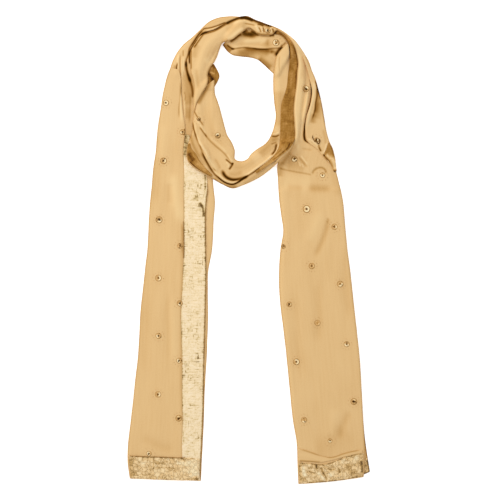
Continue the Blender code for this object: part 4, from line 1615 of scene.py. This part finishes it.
# Painted highlight on the ridges and the paler patches, painted shade along the troughs, and painted shadow
# where the loop crosses it.
# the painted shadow where the loop crosses it
RIGHT_TAIL_CREASES = creases("""
# the strand down the loop's right side
ridge 2.2 .5 -.2 .08 79,328 83.5,316 84.5,303 83.5,290 82,276 80,262 78.5,248 77.5,232 78.5,215
    79.5,198 80,180 83,160
trough 2.6 .4 .02 .22 96,300 96,280 94,255 90,230 88,205
wash 6 -.14 .15 87,290 86,262 84.5,230 85,185
wash 5 -.16 87,216 85,198 83,178
ridge 4.4 3 0 98,278 97.3,262 95.3,245 92.5,230 90,215 88.5,203
ridge 2.2 .7 -.16 98,276 96.5,256 93.5,236 89.5,214
trough 1.2 1.1 .8 .03 101,284 102.8,274 103.5,264 102.9,253 100.2,239 97,225 94.1,213 92.4,201
    91.4,190 92.4,182 96.4,178.2 104.5,175 113.5,169.5 118,165 123,158 129,149.5 133,144
wash 2.2 .6 92.8,212 91.4,200 90.7,190 92.4,182 96.4,178.6
wash 1.4 .5 .15 102,284 103.3,276 104,265 103.2,254
wash 2.6 .06 98,240 94,225 91,208
# where the loop crosses it
wash 9 .13 .1 56,140 64,150 71,160
wash 12 .14 .15 62,142 78,141 94,137
wash 3 .18 .12 52,138 60,150 68,162 74,176
wash 5 .22 .15 50,146 52,134 50,120
trough 1.4 .6 .24 .1 48,136.5 56,133.5 64,131.5 79,128.5 94,126 105,123.3
wash 14 -.1 54,116 80,110 104,106
trough 1.6 .9 .34 .12 104.5,124 106.5,130 112,134.5 120,136 126,132 127.5,125
trough 1.6 .7 .17 82,154 88,147 94,139.5 98,136
ridge 1.3 .8 -.26 85,157 91,148.5 98,140
ridge 1.2 .7 -.26 82.5,147 84,142 85,137
ridge 1.2 .7 -.24 .25 87,144 89,139 90,135
trough 1.8 .6 .12 .25 86,167 96,166 106,164
# down the tail
wash 16 .06 60,104 90,102
wash 10 .08 138,150 146,115 150,85
trough 6 1 .19 .3 92,102 114,101.5 140,101
wash 5 .08 .3 62,104 80,103 96,102
trough 4.6 1 .16 .22 133,55 128,37 122,18 113,-2 106,-14
trough 1.8 .5 .2 .3 131.5,53 129,44
ridge 8 .8 -.06 .22 118,66 110,40 98,10
trough 7 .8 .06 .22 114,-45 115,-100 113,-160
trough 6 .9 .09 .22 168,-262 155,-289 147,-314
ridge 8 .8 -.05 .22 144,-258 138,-290 132,-312
wash 22 .07 160,-290 130,-320 105,-325
trough 8 .8 .04 .22 75,-60 80,-140 86,-215
trough 7 .8 .05 .22 160,10 160,-60 166,-120
""")

RIGHT_UNDER = sections("""
145 98 57 98 2
151 70 60 70 2
156 30 64 30 2
163 -30 58 -30 2
170 -90 60 -90 2
176 -150 66 -150 2
181.5 -190 70 -190 2
185 -231 74 -231 2
187.5 -270 78 -270 2
190.5 -305 84 -305 2
195 -338 88 -338 2
199.3 -365 90 -372 2
""")
RIGHT_FLAP = sections("""
94 318 89 317 1.5 0 -.8
102.8 297 95.5 300 1.8 0 -.2
109.6 281 100.5 281 2
115.2 261 104.2 261 2.2
120.2 239 101.4 239 2.2
123.8 218 95.4 220 2.2
127.8 195 93.4 197 2.2
133 177 98 178 2.2
138 167 112 167 2.2
141 155 122 155 2
142.5 147 132 144 1.8
""")
# Painted shadow at the foot of the flap's lap and along its outer edge, painted shade in the patches beside
# it, and painted highlight on its ridges.
RIGHT_FLAP_CREASES = creases("""
lap 1.3 1.3 .36 102,211 105,220 108.3,231 109.3,242 111.5,254 111.5,266 109,280
wash 4.6 .4 111.5,270 113.5,256 112.5,244 111,232 108,220
wash 7 .16 118,246 115,230 110,214
wash 5 .3 .25 107.5,226 106,217 104.5,207
wash 1.4 .45 .14 108.5,281 112.5,268 117,255.5 120,246
wash 1.6 .3 120,246 123,228 126,205
ridge 1.7 .9 -.3 .12 106,279 107.3,268 107.3,257 105.7,247 102.8,236 100.3,225 97.9,213 95.9,200
ridge 1.5 .9 -.3 96,183.5 104,180 111,174.5 118,167
trough 2 .8 .14 122,200 126,184 127,172
ridge 1.3 .9 -.5 129.3,177 127,168 124.5,161.5 121.5,158.5
wash 1.4 .6 121.5,159 125.5,153.5 131,147
wash 1.5 .75 113.5,174.5 115,171 117.4,165.5 119.5,161.5
wash 1.6 .9 .5 124.6,158.5 124.6,154
""")


@dataclass
class NeckLoop:
    """The loop round the neck opening: the strand inside its top, the strand that runs round the
    opening, and the turned up reverse of the border."""

    round_edge: float = 12.0
    crossing: Point = (186.0, 16.0)      # Y at which it starts to rise, and the run of the rise

    def strand(self, name: str, rows: Rows, lies_on: Names, creases: Folds, seed: int,
               edge_shade: Point) -> Stretch:
        """A rounded strand of bunched plies."""
        return Stretch(name, rows, lies_on, creases, columns=60, rounding=self.round_edge, edge_shade=edge_shade,
                       edge_share=0.4, plies=4, lip=0.7, crinkle=0.32, swell=0.55, seed=seed,
                       wall_steps=3)

    def build(self, bench: Bench) -> Stretch:
        """Lay the parts of the loop that the right side covers.

        Args:
            bench: the workbench, with the left side laid.

        Returns:
            The front strand, laid but not built, because it crosses over the right tail.
        """
        inner = self.strand("loop_inner_strand", LOOP_INNER, ("left_under_plies",),
                            LOOP_INNER_CREASES, 51, (0.0, 0.22))
        bench.lay(inner, bench.wardrobe.cloth, ("loop_inner",), "cloth")
        flap = Stretch("loop_turned_flap", LOOP_FLAP, ("left_under_plies",), LOOP_FLAP_CREASES,
                       columns=26, rounding=5.0, plies=2, lip=0.5, crinkle=0.3, seed=52)
        bench.lay(flap, bench.wardrobe.reverse, ("loop_flap",), "border_reverse")
        front = self.strand("loop_front_strand", LOOP_RIGHT + LOOP_BOTTOM + LOOP_LEFT,
                            ("left_under_plies", "left_tail_plies", "left_long_border",
                             "loop_inner_strand", "loop_turned_flap"), LOOP_FRONT_CREASES, 53, (0.12, 0.2))
        front.lay(bench.ground)
        return front

    def cross_over(self, front: Stretch, bench: Bench) -> None:
        """Lift the front strand over the right tail, where it runs along the loop's bottom.

        Args:
            front: the front strand, laid before the right tail.
            bench: the workbench, with the right side laid.
        """
        rest, drape = bench.ground.draped(front.lies_on, front.plan)
        over, raised = bench.ground.draped(
            front.lies_on[:3] + ("right_tail_strand", "right_under_plies"), front.plan)
        x, y = front.plan[..., 0], front.plan[..., 1]
        share = ease((self.crossing[0] - y) / self.crossing[1]) * (x > 0)
        front.settle(np.where(share > 0, np.maximum(rest, over * share), rest),
                     drape + share * np.maximum(raised - drape, 0))
        front.lies_on = front.lies_on + ("right_tail_strand",)
        bench.ground.record(front.name, front.top)
        bench.finish(front, bench.wardrobe.cloth, ("loop_right", "loop_bottom", "loop_left"), "cloth")

    def reverse(self, right: Stretch, bench: Bench) -> None:
        """Lay the border's reverse along the front strand's outer edge.

        Args:
            right: the reverse on the right, which the right tail lies on, and which is laid again
                over the lifted strand.
            bench: the workbench.
        """
        bench.lay(right, bench.wardrobe.reverse, ("loop_right_border", "loop_bottom_border"),
                  "border_reverse")
        left = Stretch("loop_left_reverse", LOOP_LEFT_REVERSE, ("loop_front_strand",),
                       LOOP_LEFT_REVERSE_CREASES, columns=20, rounding=1.0, plies=1, lip=0.3,
                       crinkle=0.3, cell=(3.0, 12.0), seed=62)
        bench.lay(left, bench.wardrobe.reverse, ("loop_left_border",), "border_reverse")


RIGHT_EDGE_BORDER = sections("""
132.5 177 130.5 176.3 1.2
137.5 167 127.7 166.3 1.5
140.3 158 124.5 158.5 1.5
141.7 150 129.5 149.7 1.5
143.2 141 134.3 142.7 1.5
144.6 130 140.3 129 1.2
""")
# The two pale washes are painted highlight on the folded glimpse of gold tissue; the dark washes are darker
# lines along its edges.
RIGHT_EDGE_HIGHLIGHT_AND_MARKS = creases("""
wash 1.6 .3 .06 133.5,176 136.5,168 139,159.5 141,150
wash 3.8 -.9 126.5,158 131,154.5 136,151
wash 4.2 -1 .15 135,154 138.5,148 141,141 142.5,131
wash 1.7 .9 .3 124,155.6 129,149 134.4,142.6
wash 1.5 .9 .3 139.5,130.5 143.5,129
""")
RIGHT_CORNER = sections("""
199.2 -365.4 189.5 -369.8 .5
198.2 -359 190.6 -362 .5
196.6 -350 191.4 -352 .5
195 -342.5 192 -343 .5
""")
# Painted shade along the corner's two outer edges, where they roll under.
RIGHT_CORNER_SHADE = creases("""
wash 1.6 .9 .1 199,-366 197.5,-356 195.5,-345
wash 1.5 .9 .1 199,-366 194,-367.5 190,-369
wash 2.4 -.1 192.5,-348 193.5,-360
""")
RIGHT_END_BORDER = sections("""
83.7 -384.6 82 -350 1.5
104 -383.8 102 -351.5 1.5
122 -382.6 119 -353.3 1.5
144 -380.3 141 -348.5 1.5
160 -378.2 157 -341.5 1.5
174 -375.7 173 -337 1.5
187.3 -372.8 188.5 -334 1.5
""")
# Painted shade in the crushed border's creases and along its edges, a painted highlight on its ridge, and
# paler patches.
RIGHT_END_MARKS_AND_SHADE = creases("""
ridge 2.4 .9 -.8 .15 113,-364 118,-371 126,-379.5
trough 1.6 .8 1 .15 118.5,-356 121.5,-365 126,-373 129.5,-381
wash 3.4 -.72 87,-354 91,-366 93,-375
trough 1.9 .7 1 .3 109,-352.5 111.5,-357 114,-362
trough 1.6 .6 .72 .3 129,-358.5 136,-362 144,-360
trough 1.6 .6 .64 .3 97,-363 104,-366 110,-369
wash 3.2 -.64 .3 151,-346.5 157,-350
wash 4 .48 161,-351 169,-364 174,-373
wash 3 -.64 .3 174,-339.5 181,-343
wash 1 .64 .03 82,-350.5 102,-352 119,-353.8 133,-351.5 146,-346 157,-342 173,-337.5 188,-334.5
wash 3 .48 .05 84,-352 85,-380
wash 2 .96 .15 185,-345 187,-368
wash 1.3 .64 .1 90,-383.5 127,-381.5 161,-377.3 186,-371.5
trough 1.2 .5 .64 100,-356 104,-360
wash 1.6 -.8 .3 132,-366 137,-374
trough 1.2 .5 .64 148,-357 150,-368
""")
RIGHT_HEM = sections("""
82 -347.5 81.5 -327 1.2
101 -348.5 100 -331 1.2
118 -349.5 119 -339 1.2
137 -346 137.5 -341 1.2
157 -340.6 156.7 -334.7 1.2
172 -337 171 -331.2 1.2
187.5 -334 186.5 -328.6 1.2
""")
# Painted shade along the hem's two edges.
RIGHT_HEM_SHADE = creases("""
wash 1.2 .3 .1 81,-327.7 91,-329.8 100,-332.6 112,-336.7 125,-339.6 137,-341.4 157,-335.1
    171,-331.6 186,-329
wash 1.6 .3 .05 83,-347 101,-348 118,-349.5
""")


@dataclass
class RightTail:
    """The strand over the loop's top that becomes the right hanging end, with its flap, hem and
    gold borders."""

    long_cell: Point = (7.0, 60.0)       # size of the strand's fine crinkles, across and along

    def build(self, bench: Bench) -> Stretch:
        """Lay the right side down, over the loop's top and down to its end.

        Args:
            bench: the workbench, with the loop laid.

        Returns:
            The border's reverse on the loop's right, laid but not built, because the loop's front
            strand still has to rise beneath it.
        """
        under = Stretch("right_under_plies", RIGHT_UNDER, columns=34, rounding=2.0, plies=2, lip=0.4,
                        swell=0.3, cell=(9.0, 80.0), seed=71, tint=0.12, edge_shade=(0.5, 0.2))
        bench.lay(under, bench.wardrobe.cloth, ("right_tail_under",), "cloth")
        corner = Stretch("right_under_corner_tissue", RIGHT_CORNER, ("right_under_plies",),
                         RIGHT_CORNER_SHADE, columns=10, calm=1.4, rounding=0.8, plies=1, lip=0.2,
                         crinkle=0.25, cell=(5.0, 6.0), seed=72, least=0.4, tint=0.3)
        bench.lay(corner, bench.wardrobe.end_border, (), "border")
        reverse = Stretch("loop_right_reverse", LOOP_RIGHT_REVERSE,
                          ("loop_inner_strand", "loop_front_strand"), LOOP_RIGHT_REVERSE_CREASES,
                          columns=28, rounding=1.0, plies=1, lip=0.3, crinkle=0.3, cell=(3.0, 12.0),
                          seed=61, tint=0.05)
        reverse.lay(bench.ground)
        strand = Stretch(
            "right_tail_strand", LOOP_TOP + RIGHT_TAIL,
            ("left_under_plies", "left_tail_plies", "loop_inner_strand", "loop_turned_flap",
             "loop_front_strand", "loop_right_reverse", "right_under_plies"),
            LOOP_TOP_CREASES + RIGHT_TAIL_CREASES, columns=92, rounding=4.0, edge_share=0.5, plies=3,
            lip=0.55, crinkle=0.22, swell=0.5, cell=self.long_cell, edge_shade=(0.15, 0.2), seed=81, wall_steps=3)
        bench.lay(strand, bench.wardrobe.cloth, ("loop_top", "right_tail"), "cloth")
        flap = Stretch("right_turned_flap", RIGHT_FLAP, ("right_tail_strand",), RIGHT_FLAP_CREASES,
                       columns=40, rounding=2.5, plies=2, lip=0.4, crinkle=0.25, swell=0.3,
                       edge_shade=(0.25, 0.0), seed=82)
        bench.lay(flap, bench.wardrobe.cloth, ("right_flap",), "cloth")
        edge = Stretch("right_edge_tissue", RIGHT_EDGE_BORDER, ("right_tail_strand", "right_turned_flap"),
                       RIGHT_EDGE_HIGHLIGHT_AND_MARKS, columns=16, rounding=1.0, plies=1, lip=0.3, crinkle=0.4,
                       cell=(4.0, 5.0), seed=83)
        bench.lay(edge, bench.wardrobe.reverse, ("right_edge_border",), "border")
        end = Stretch("right_end_border_tissue", RIGHT_END_BORDER, ("right_tail_strand",), RIGHT_END_MARKS_AND_SHADE,
                      columns=34, calm=1.6, rounding=1.2, edge_share=0.6, plies=1, lip=0.3,
                      crinkle=0.5, swell=0.3, cell=(8.0, 8.0), seed=84)
        bench.lay(end, bench.wardrobe.end_border, ("right_end_border",), "border")
        hem = Stretch("right_end_hem", RIGHT_HEM, ("right_tail_strand",), RIGHT_HEM_SHADE, columns=22,
                      calm=1.6, rounding=1.2, plies=1, lip=0.3, crinkle=0.2, seed=85)
        bench.lay(hem, bench.wardrobe.cloth, ("right_hem",), "cloth")
        return reverse


# ---- embroidery and sewing

class Butti(NamedTuple):
    """One butti: its place, how bright the gilt is on the side that catches the light, that side's
    direction in degrees from +X, its size, how dark its bead is, and its dark loose stitches."""

    x: float
    y: float
    glow: float
    facing: float
    size: float
    bead: float
    loose: int


BUTTIS = {
    ("left_tail_plies", "left_long_border"): """
-136.6 242.5 1 0 .85 .95 0
-140.6 147.1 .4 0 .95 .7 4
-148 50 .4 -60 1 .8 8
-149 -46 .6 0 .95 .35 1
-148.8 -141.2 .4 200 .85 .8 3
-149.6 -237.6 .5 0 .9 .5 3
-164.6 -335.2 .9 180 .75 .85 1
-109.5 194.5 .3 200 .8 .8 3
-113.5 7.2 .1 200 .8 .5 6
-113.8 -87.6 .35 -100 .85 .95 2
-115 -182 .7 200 .8 .95 2
-115.5 -277 .2 110 .95 .7 8
    """,
    ("right_tail_strand",): """
75 150 .6 -90 .9 .7 4
121.4 123.5 .9 -90 .8 .6 0
95 67.7 1 0 1.1 .6 0
141 38.4 .3 0 .9 .45 2
57.3 6 0 0 .6 .5 4
103.6 -26.2 .15 0 .9 .5 1
150.4 -55.8 .5 -45 .95 .3 1
66.6 -89.4 .2 0 .8 .6 3
113 -120 .15 -30 .9 .1 0
161.2 -154.9 .7 -100 .85 .5 2
78.2 -184 .8 20 .95 .6 1
173 -249.5 .2 80 .95 .9 9
91 -280 .4 -90 .9 .1 2
133.8 -314 .6 -90 .65 .9 0
94 265.5 .4 60 .95 .8 8
31 361 .4 180 .85 .9 4
    """,
    ("loop_inner_strand",): """
44.6 341.5 .9 200 1 .2 5
    """,
    ("right_turned_flap",): """
111.5 181.5 .3 0 .7 .9 4
    """,
    ("loop_front_strand",): """
-51 188.6 .5 120 .85 .95 6
-82.4 215.8 .1 120 .6 .9 6
    """,
}


@dataclass
class Work:
    """One kind of work in all the buttis, gathered into one piece."""

    name: str
    shape: Pair                  # points and faces of one copy
    material: Material
    least: float                 # share of a copy that has to lie on the cloth
    points: list[Array] = field(default_factory=list)
    dark: list[Array] = field(default_factory=list)

    def lay(self, bench: Bench, on: Names, places: Array, dark: Array | float = 0.0) -> None:
        """Lay copies on the cloth, less those that hang over its edge.

        Args:
            bench: the workbench.
            on: names of the stretches that carry them.
            places: a row for each copy: x, y, z, turn about +Z, and scale.
            dark: darkness of a copy, or of each of its points.
        """
        bent, inside = bench.lift(on, scattered(self.shape[0], places))
        kept = bent[inside.mean(axis=1) > self.least]
        self.points.extend(kept)
        self.dark.extend([dark + np.zeros(len(self.shape[0]))] * len(kept))

    def join(self, bench: Bench) -> None:
        """Make one piece of all the copies."""
        steps = (np.arange(len(self.points)) * len(self.shape[0]))[:, None, None]
        faces = (self.shape[1] + steps).reshape(-1, 4)
        bench.add(make_object(self.name, np.concatenate(self.points), (faces,), self.material,
                              dark=np.concatenate(self.dark)), "border")


@dataclass
class Embroidery:
    """The round buttis: a dished gilt sequin held by a bronze bead, ringed by brown thread, with a
    wider ring of small loose stitches."""

    bead_radius: float = 1.5
    sequin_inner: float = 1.2
    sequin_outer: float = 4.6
    sequin_rise: float = 0.34
    ring_radius: float = 5.3
    ring_thread: float = 0.42
    stitch_ring: float = 9.0
    stitches: int = 12
    stitch_length: float = 1.6
    stitch_thread: float = 0.4
    stitch_spread: float = 0.8   # how far in or out of its ring a stitch may be
    stitch_sizes: Point = (0.6, 1.1)
    speck_length: float = 2.6
    speck_thread: float = 0.75
    speck_fan: float = 4.4       # angle that the loose stitches fill, in radians
    speck_ring: Point = (1.0, 3.9)
    speck_sizes: Point = (0.7, 1.15)

    @staticmethod
    def turned(steps: int, reach: Array, rise: Array, closed: bool = True) -> Pair:
        """A profile carried round +Z, each of its points at a reach from Z and a rise.

        Args:
            steps: copies of the profile round Z.
            reach: distance of each of its points from Z.
            rise: height of each.
            closed: whether its last point joins its first.

        Returns:
            Points and faces.
        """
        turn = circle(steps)[:, None]
        x, y = reach * np.cos(turn), reach * np.sin(turn)
        points = np.stack([x, y, np.broadcast_to(rise, x.shape)], axis=-1).reshape(-1, 3)
        return points, grid_faces(steps, len(reach), True, closed)

    def ring(self) -> Pair:
        """The ring of thread: a circle of small circles."""
        roll = circle(6)
        return self.turned(30, self.ring_radius + self.ring_thread * np.cos(roll),
                           self.ring_thread * np.sin(roll))

    def dish(self) -> Pair:
        """The sequin: a circle of flat ellipses, each tilted so that its outer end is higher."""
        share = circle(12)
        half = (self.sequin_outer - self.sequin_inner) / 2
        return self.turned(28, self.sequin_inner + half + half * np.cos(share),
                           self.sequin_rise * (1.5 + np.cos(share) + 0.6 * np.sin(share)))

    def bead(self) -> Pair:
        """The bead: a flattened ball of revolution, closed by tiny rings at its poles."""
        rise = np.linspace(0.04, math.pi - 0.04, 8)
        return self.turned(14, self.bead_radius * np.sin(rise),
                           self.bead_radius * (0.55 + 0.75 * np.cos(rise)), closed=False)

    @staticmethod
    def stitch(length: float, thread: float) -> Pair:
        """A stitch: a spindle along X, its radius the root of a half sine of the way along."""
        along, roll = np.meshgrid(np.linspace(0.02, 0.98, 6), circle(6), indexing="ij")
        radius = thread * np.sqrt(np.sin(math.pi * along))
        arch = 0.5 * thread * np.sin(math.pi * along)
        points = np.stack([(along - 0.5) * length, radius * np.cos(roll),
                           radius * np.sin(roll) + arch], axis=-1)
        return points.reshape(-1, 3), grid_faces(6, 6, False, True)

    def around(self, butti: Butti, count: int, spread: float, reach: Point, size: Point,
               rng: np.random.Generator) -> Array:
        """Places of stitches round a butti.

        Args:
            butti: the butti.
            count: number of stitches.
            spread: angle that they fill, opposite the bright side.
            reach: least and greatest distance from its middle.
            size: least and greatest scale of a stitch.
            rng: source of chance.

        Returns:
            A row for each stitch: x, y, z, turn and scale.
        """
        turn = math.radians(butti.facing + 180) + (
            np.arange(count) - count / 2 + rng.uniform(-0.2, 0.2, count)) / max(count, 1) * spread
        radius = rng.uniform(*reach, count)
        return np.stack([butti.x + radius * np.cos(turn), butti.y + radius * np.sin(turn),
                         np.full(count, 0.25), turn + rng.uniform(0.2, 1.4, count),
                         rng.uniform(*size, count)], axis=1)

    def build(self, bench: Bench) -> None:
        """Work every butti: for each, its sequin, bead, ring and stitches are laid on the cloth.

        A faint butti's ring is worked deeper into the cloth, by up to half a millimetre. A sequin's
        darkness is 0.55, less 0.5 in a crescent of painted highlight about the side that faces the light.
        The crescent is as wide as its glow, and a glow of 1 goes all round.
        """
        rng = np.random.default_rng(5)
        finish = bench.wardrobe
        sequins = Work("butti_sequins", self.dish(), finish.sequin, 0.85)
        beads = Work("butti_beads", self.bead(), finish.bead, 0.5)
        rings = Work("butti_thread_rings", self.ring(), finish.brown_thread, 0.75)
        stitches = Work("butti_stitches", self.stitch(self.stitch_length, self.stitch_thread),
                        finish.pale_thread, 0.95)
        threads = Work("butti_loose_threads", self.stitch(self.speck_length, self.speck_thread),
                       finish.dark_thread, 0.6)
        outline = sequins.shape[0]
        angle = np.arctan2(outline[:, 1], outline[:, 0])
        near, far = self.stitch_ring - self.stitch_spread, self.stitch_ring + self.stitch_spread
        for on, table in BUTTIS.items():
            for *values, loose in numbers(table):
                butti = Butti(*values, int(loose))
                middle = np.array([[butti.x, butti.y, 0.0, 0.0, butti.size]])
                sunk = middle - np.array([0, 0, 0.5 * (1 - max(butti.glow, butti.bead)), 0, 0])
                # painted highlight: a paler crescent on the side of the sequin that faces the light
                toward = np.cos(angle - math.radians(butti.facing))
                sequins.lay(bench, on, middle, 0.55 - 0.5 * ease((toward + 2.2 * butti.glow - 1) / 0.8))
                beads.lay(bench, on, middle, butti.bead)
                rings.lay(bench, on, sunk)
                stitches.lay(bench, on, self.around(
                    butti, self.stitches, math.tau, (near, far), self.stitch_sizes, rng))
                threads.lay(bench, on, self.around(
                    butti, butti.loose, self.speck_fan, self.speck_ring, self.speck_sizes, rng))
        for work in (sequins, beads, rings, stitches, threads):
            work.join(bench)


# Brown overlock cords along the border seams; their dark colour is also a painted shadow line along each
# seam.
OVERLOCK_AND_SEAM_SHADOW = {
    ("left_long_border", "left_tail_plies"): "-108,48 -107.2,20 -107,0 -107.4,-14",
    ("left_long_border", "left_under_plies"): """
        -69,110 -68,99 -69.6,84 -71,70 -71.5,50 -71,0 -70.5,-33 -71,-66 -72,-99 -73,-148 -74,-181
        -75,-247 -76,-280 -78,-322 -79.5,-352 -80.4,-377""",
    ("left_end_border_tissue", "left_tail_plies"): """
        -197.3,-338.6 -172,-340 -140,-341 -119,-341.9 -104,-341.9""",
}
PULLS = {
    ("right_turned_flap",): """
        105,189 105.2,185 106.8,182 108.7,179 111.1,181 112.4,177.2 114.8,175.1 116.6,177.7
        116.6,181 115.3,183.3""",
}


@dataclass
class Sewing:
    """The overlocked edges and seams of the borders, whose dark cords also stand in for the shade in the
    seams.
    """

    cord_radius: float = 0.5
    pull_radius: float = 0.85    # a pulled thread has drawn into a dark loop of several strands
    sides: int = 6
    parts: int = 30              # straight parts between two points of a cord's path

    def tube(self, bench: Bench, stretches: Names, path: Path, size: float) -> Pair:
        """A cord along a path on the cloth: circles at right angles to the path, of a radius that
        varies by smooth noise and falls to a tenth at both ends.

        Args:
            bench: the workbench.
            stretches: names of the stretches that the cord lies on.
            path: points in plan, in millimetres.
            size: radius of the cord.

        Returns:
            Points and faces.
        """
        curve = smooth_path(path, self.parts)
        way = unit(np.gradient(curve, axis=0))
        side = np.stack([way[:, 1], -way[:, 0]], axis=1)
        run = totals(np.linalg.norm(np.diff(curve, axis=0), axis=1))
        ends = ease(np.minimum(run, run[-1] - run) / 1.5) * 0.9 + 0.1
        radius = size * ends * (1 + 0.45 * soft_noise(run, run, (5.0, 6.0), 7))
        roll = circle(self.sides)
        plan = curve[:, None, :] + side[:, None, :] * (radius[:, None] * np.cos(roll))[..., None]
        rise = radius[:, None] * (0.5 + np.sin(roll))
        points, _ = bench.lift(stretches, np.concatenate([plan, rise[..., None]], axis=-1))
        return points.reshape(-1, 3), grid_faces(len(curve), self.sides, False, True)

    def build(self, bench: Bench) -> None:
        """Lay the cords down as one piece, and the pulled threads as another."""
        for name, cords, size, material in (
                ("border_overlock_threads_and_seam_shadow", OVERLOCK_AND_SEAM_SHADOW, self.cord_radius, bench.wardrobe.cord),
                ("pulled_threads", PULLS, self.pull_radius, bench.wardrobe.dark_thread)):
            points, faces, start = [], [], 0
            for stretches, path in cords.items():
                tube, quads = self.tube(bench, stretches, path_of(path.split()), size)
                points.append(tube)
                faces.append(quads + start)
                start += len(tube)
            bench.add(make_object(name, np.concatenate(points), (np.concatenate(faces),), material),
                      "border")


# ---- studio

@dataclass
class Studio:
    """A white table, even soft light and a camera that looks straight down."""

    lens: float = 120.0
    sensor: float = 36.0
    field_width: float = 0.825       # metres of table that the camera sees across
    aim: Point = (0.0019, 0.000165)
    table_size: float = 6.0
    table_glow: float = 0.45
    sky: float = 0.72
    key_size: float = 1.6
    key_power: float = 22.0
    key_place: tuple[float, float, float] = (-1.1, 1.2, 1.5)
    key_turn: tuple[float, float, float] = (-38.0, -36.0, 0.0)   # in degrees about X, Y and Z

    def table(self) -> None:
        """A plain white table top that glows a little, so that it stays clean beside the cloth."""
        half = self.table_size / 2
        mesh = bpy.data.meshes.new("table_top")
        mesh.from_pydata([(-half, -half, 0), (half, -half, 0), (half, half, 0), (-half, half, 0)], [],
                         [(0, 1, 2, 3)])
        white = linear("FFFFFF")
        mesh.materials.append(Recipe("white_laminate").level(
            Base_Color=white, Roughness=0.9, Specular_IOR_Level=0.0, Emission_Color=white,
            Emission_Strength=self.table_glow))
        show("table_top", mesh)

    def light(self) -> None:
        """Even light from all round, and a large soft lamp above the upper left."""
        world = bpy.data.worlds.new("studio")
        world.use_nodes = True
        back = world.node_tree.nodes["Background"]
        back.inputs["Color"].default_value = linear("FFFFFF")
        back.inputs["Strength"].default_value = self.sky
        bpy.context.scene.world = world
        lamp = bpy.data.lights.new("soft_key", "AREA")
        lamp.size = self.key_size
        lamp.energy = self.key_power
        thing = show("soft_key", lamp)
        thing.location = self.key_place
        thing.rotation_euler = tuple(map(math.radians, self.key_turn))

    def camera(self) -> None:
        """A long lens straight above the stole, with the loop at the top of the picture."""
        data = bpy.data.cameras.new("camera")
        data.lens = self.lens
        data.sensor_width = self.sensor
        data.clip_end = 50.0
        camera = show("camera", data)
        camera.location = (*self.aim, self.field_width * self.lens / self.sensor)
        bpy.context.scene.camera = camera

    def build(self) -> None:
        """Set up the table, the lights and the camera."""
        bpy.context.scene.view_settings.view_transform = "Standard"
        self.table()
        self.light()
        self.camera()


def main() -> None:
    """Lay the stole down, sew it and light it."""
    logging.basicConfig(level=logging.INFO, format="%(message)s")
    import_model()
    bench = Bench()
    LeftTail().build(bench)
    loop = NeckLoop()
    front = loop.build(bench)
    reverse = RightTail().build(bench)
    loop.cross_over(front, bench)
    loop.reverse(reverse, bench)
    Embroidery().build(bench)
    Sewing().build(bench)
    Studio().build()


if __name__ == "__main__":
    main()
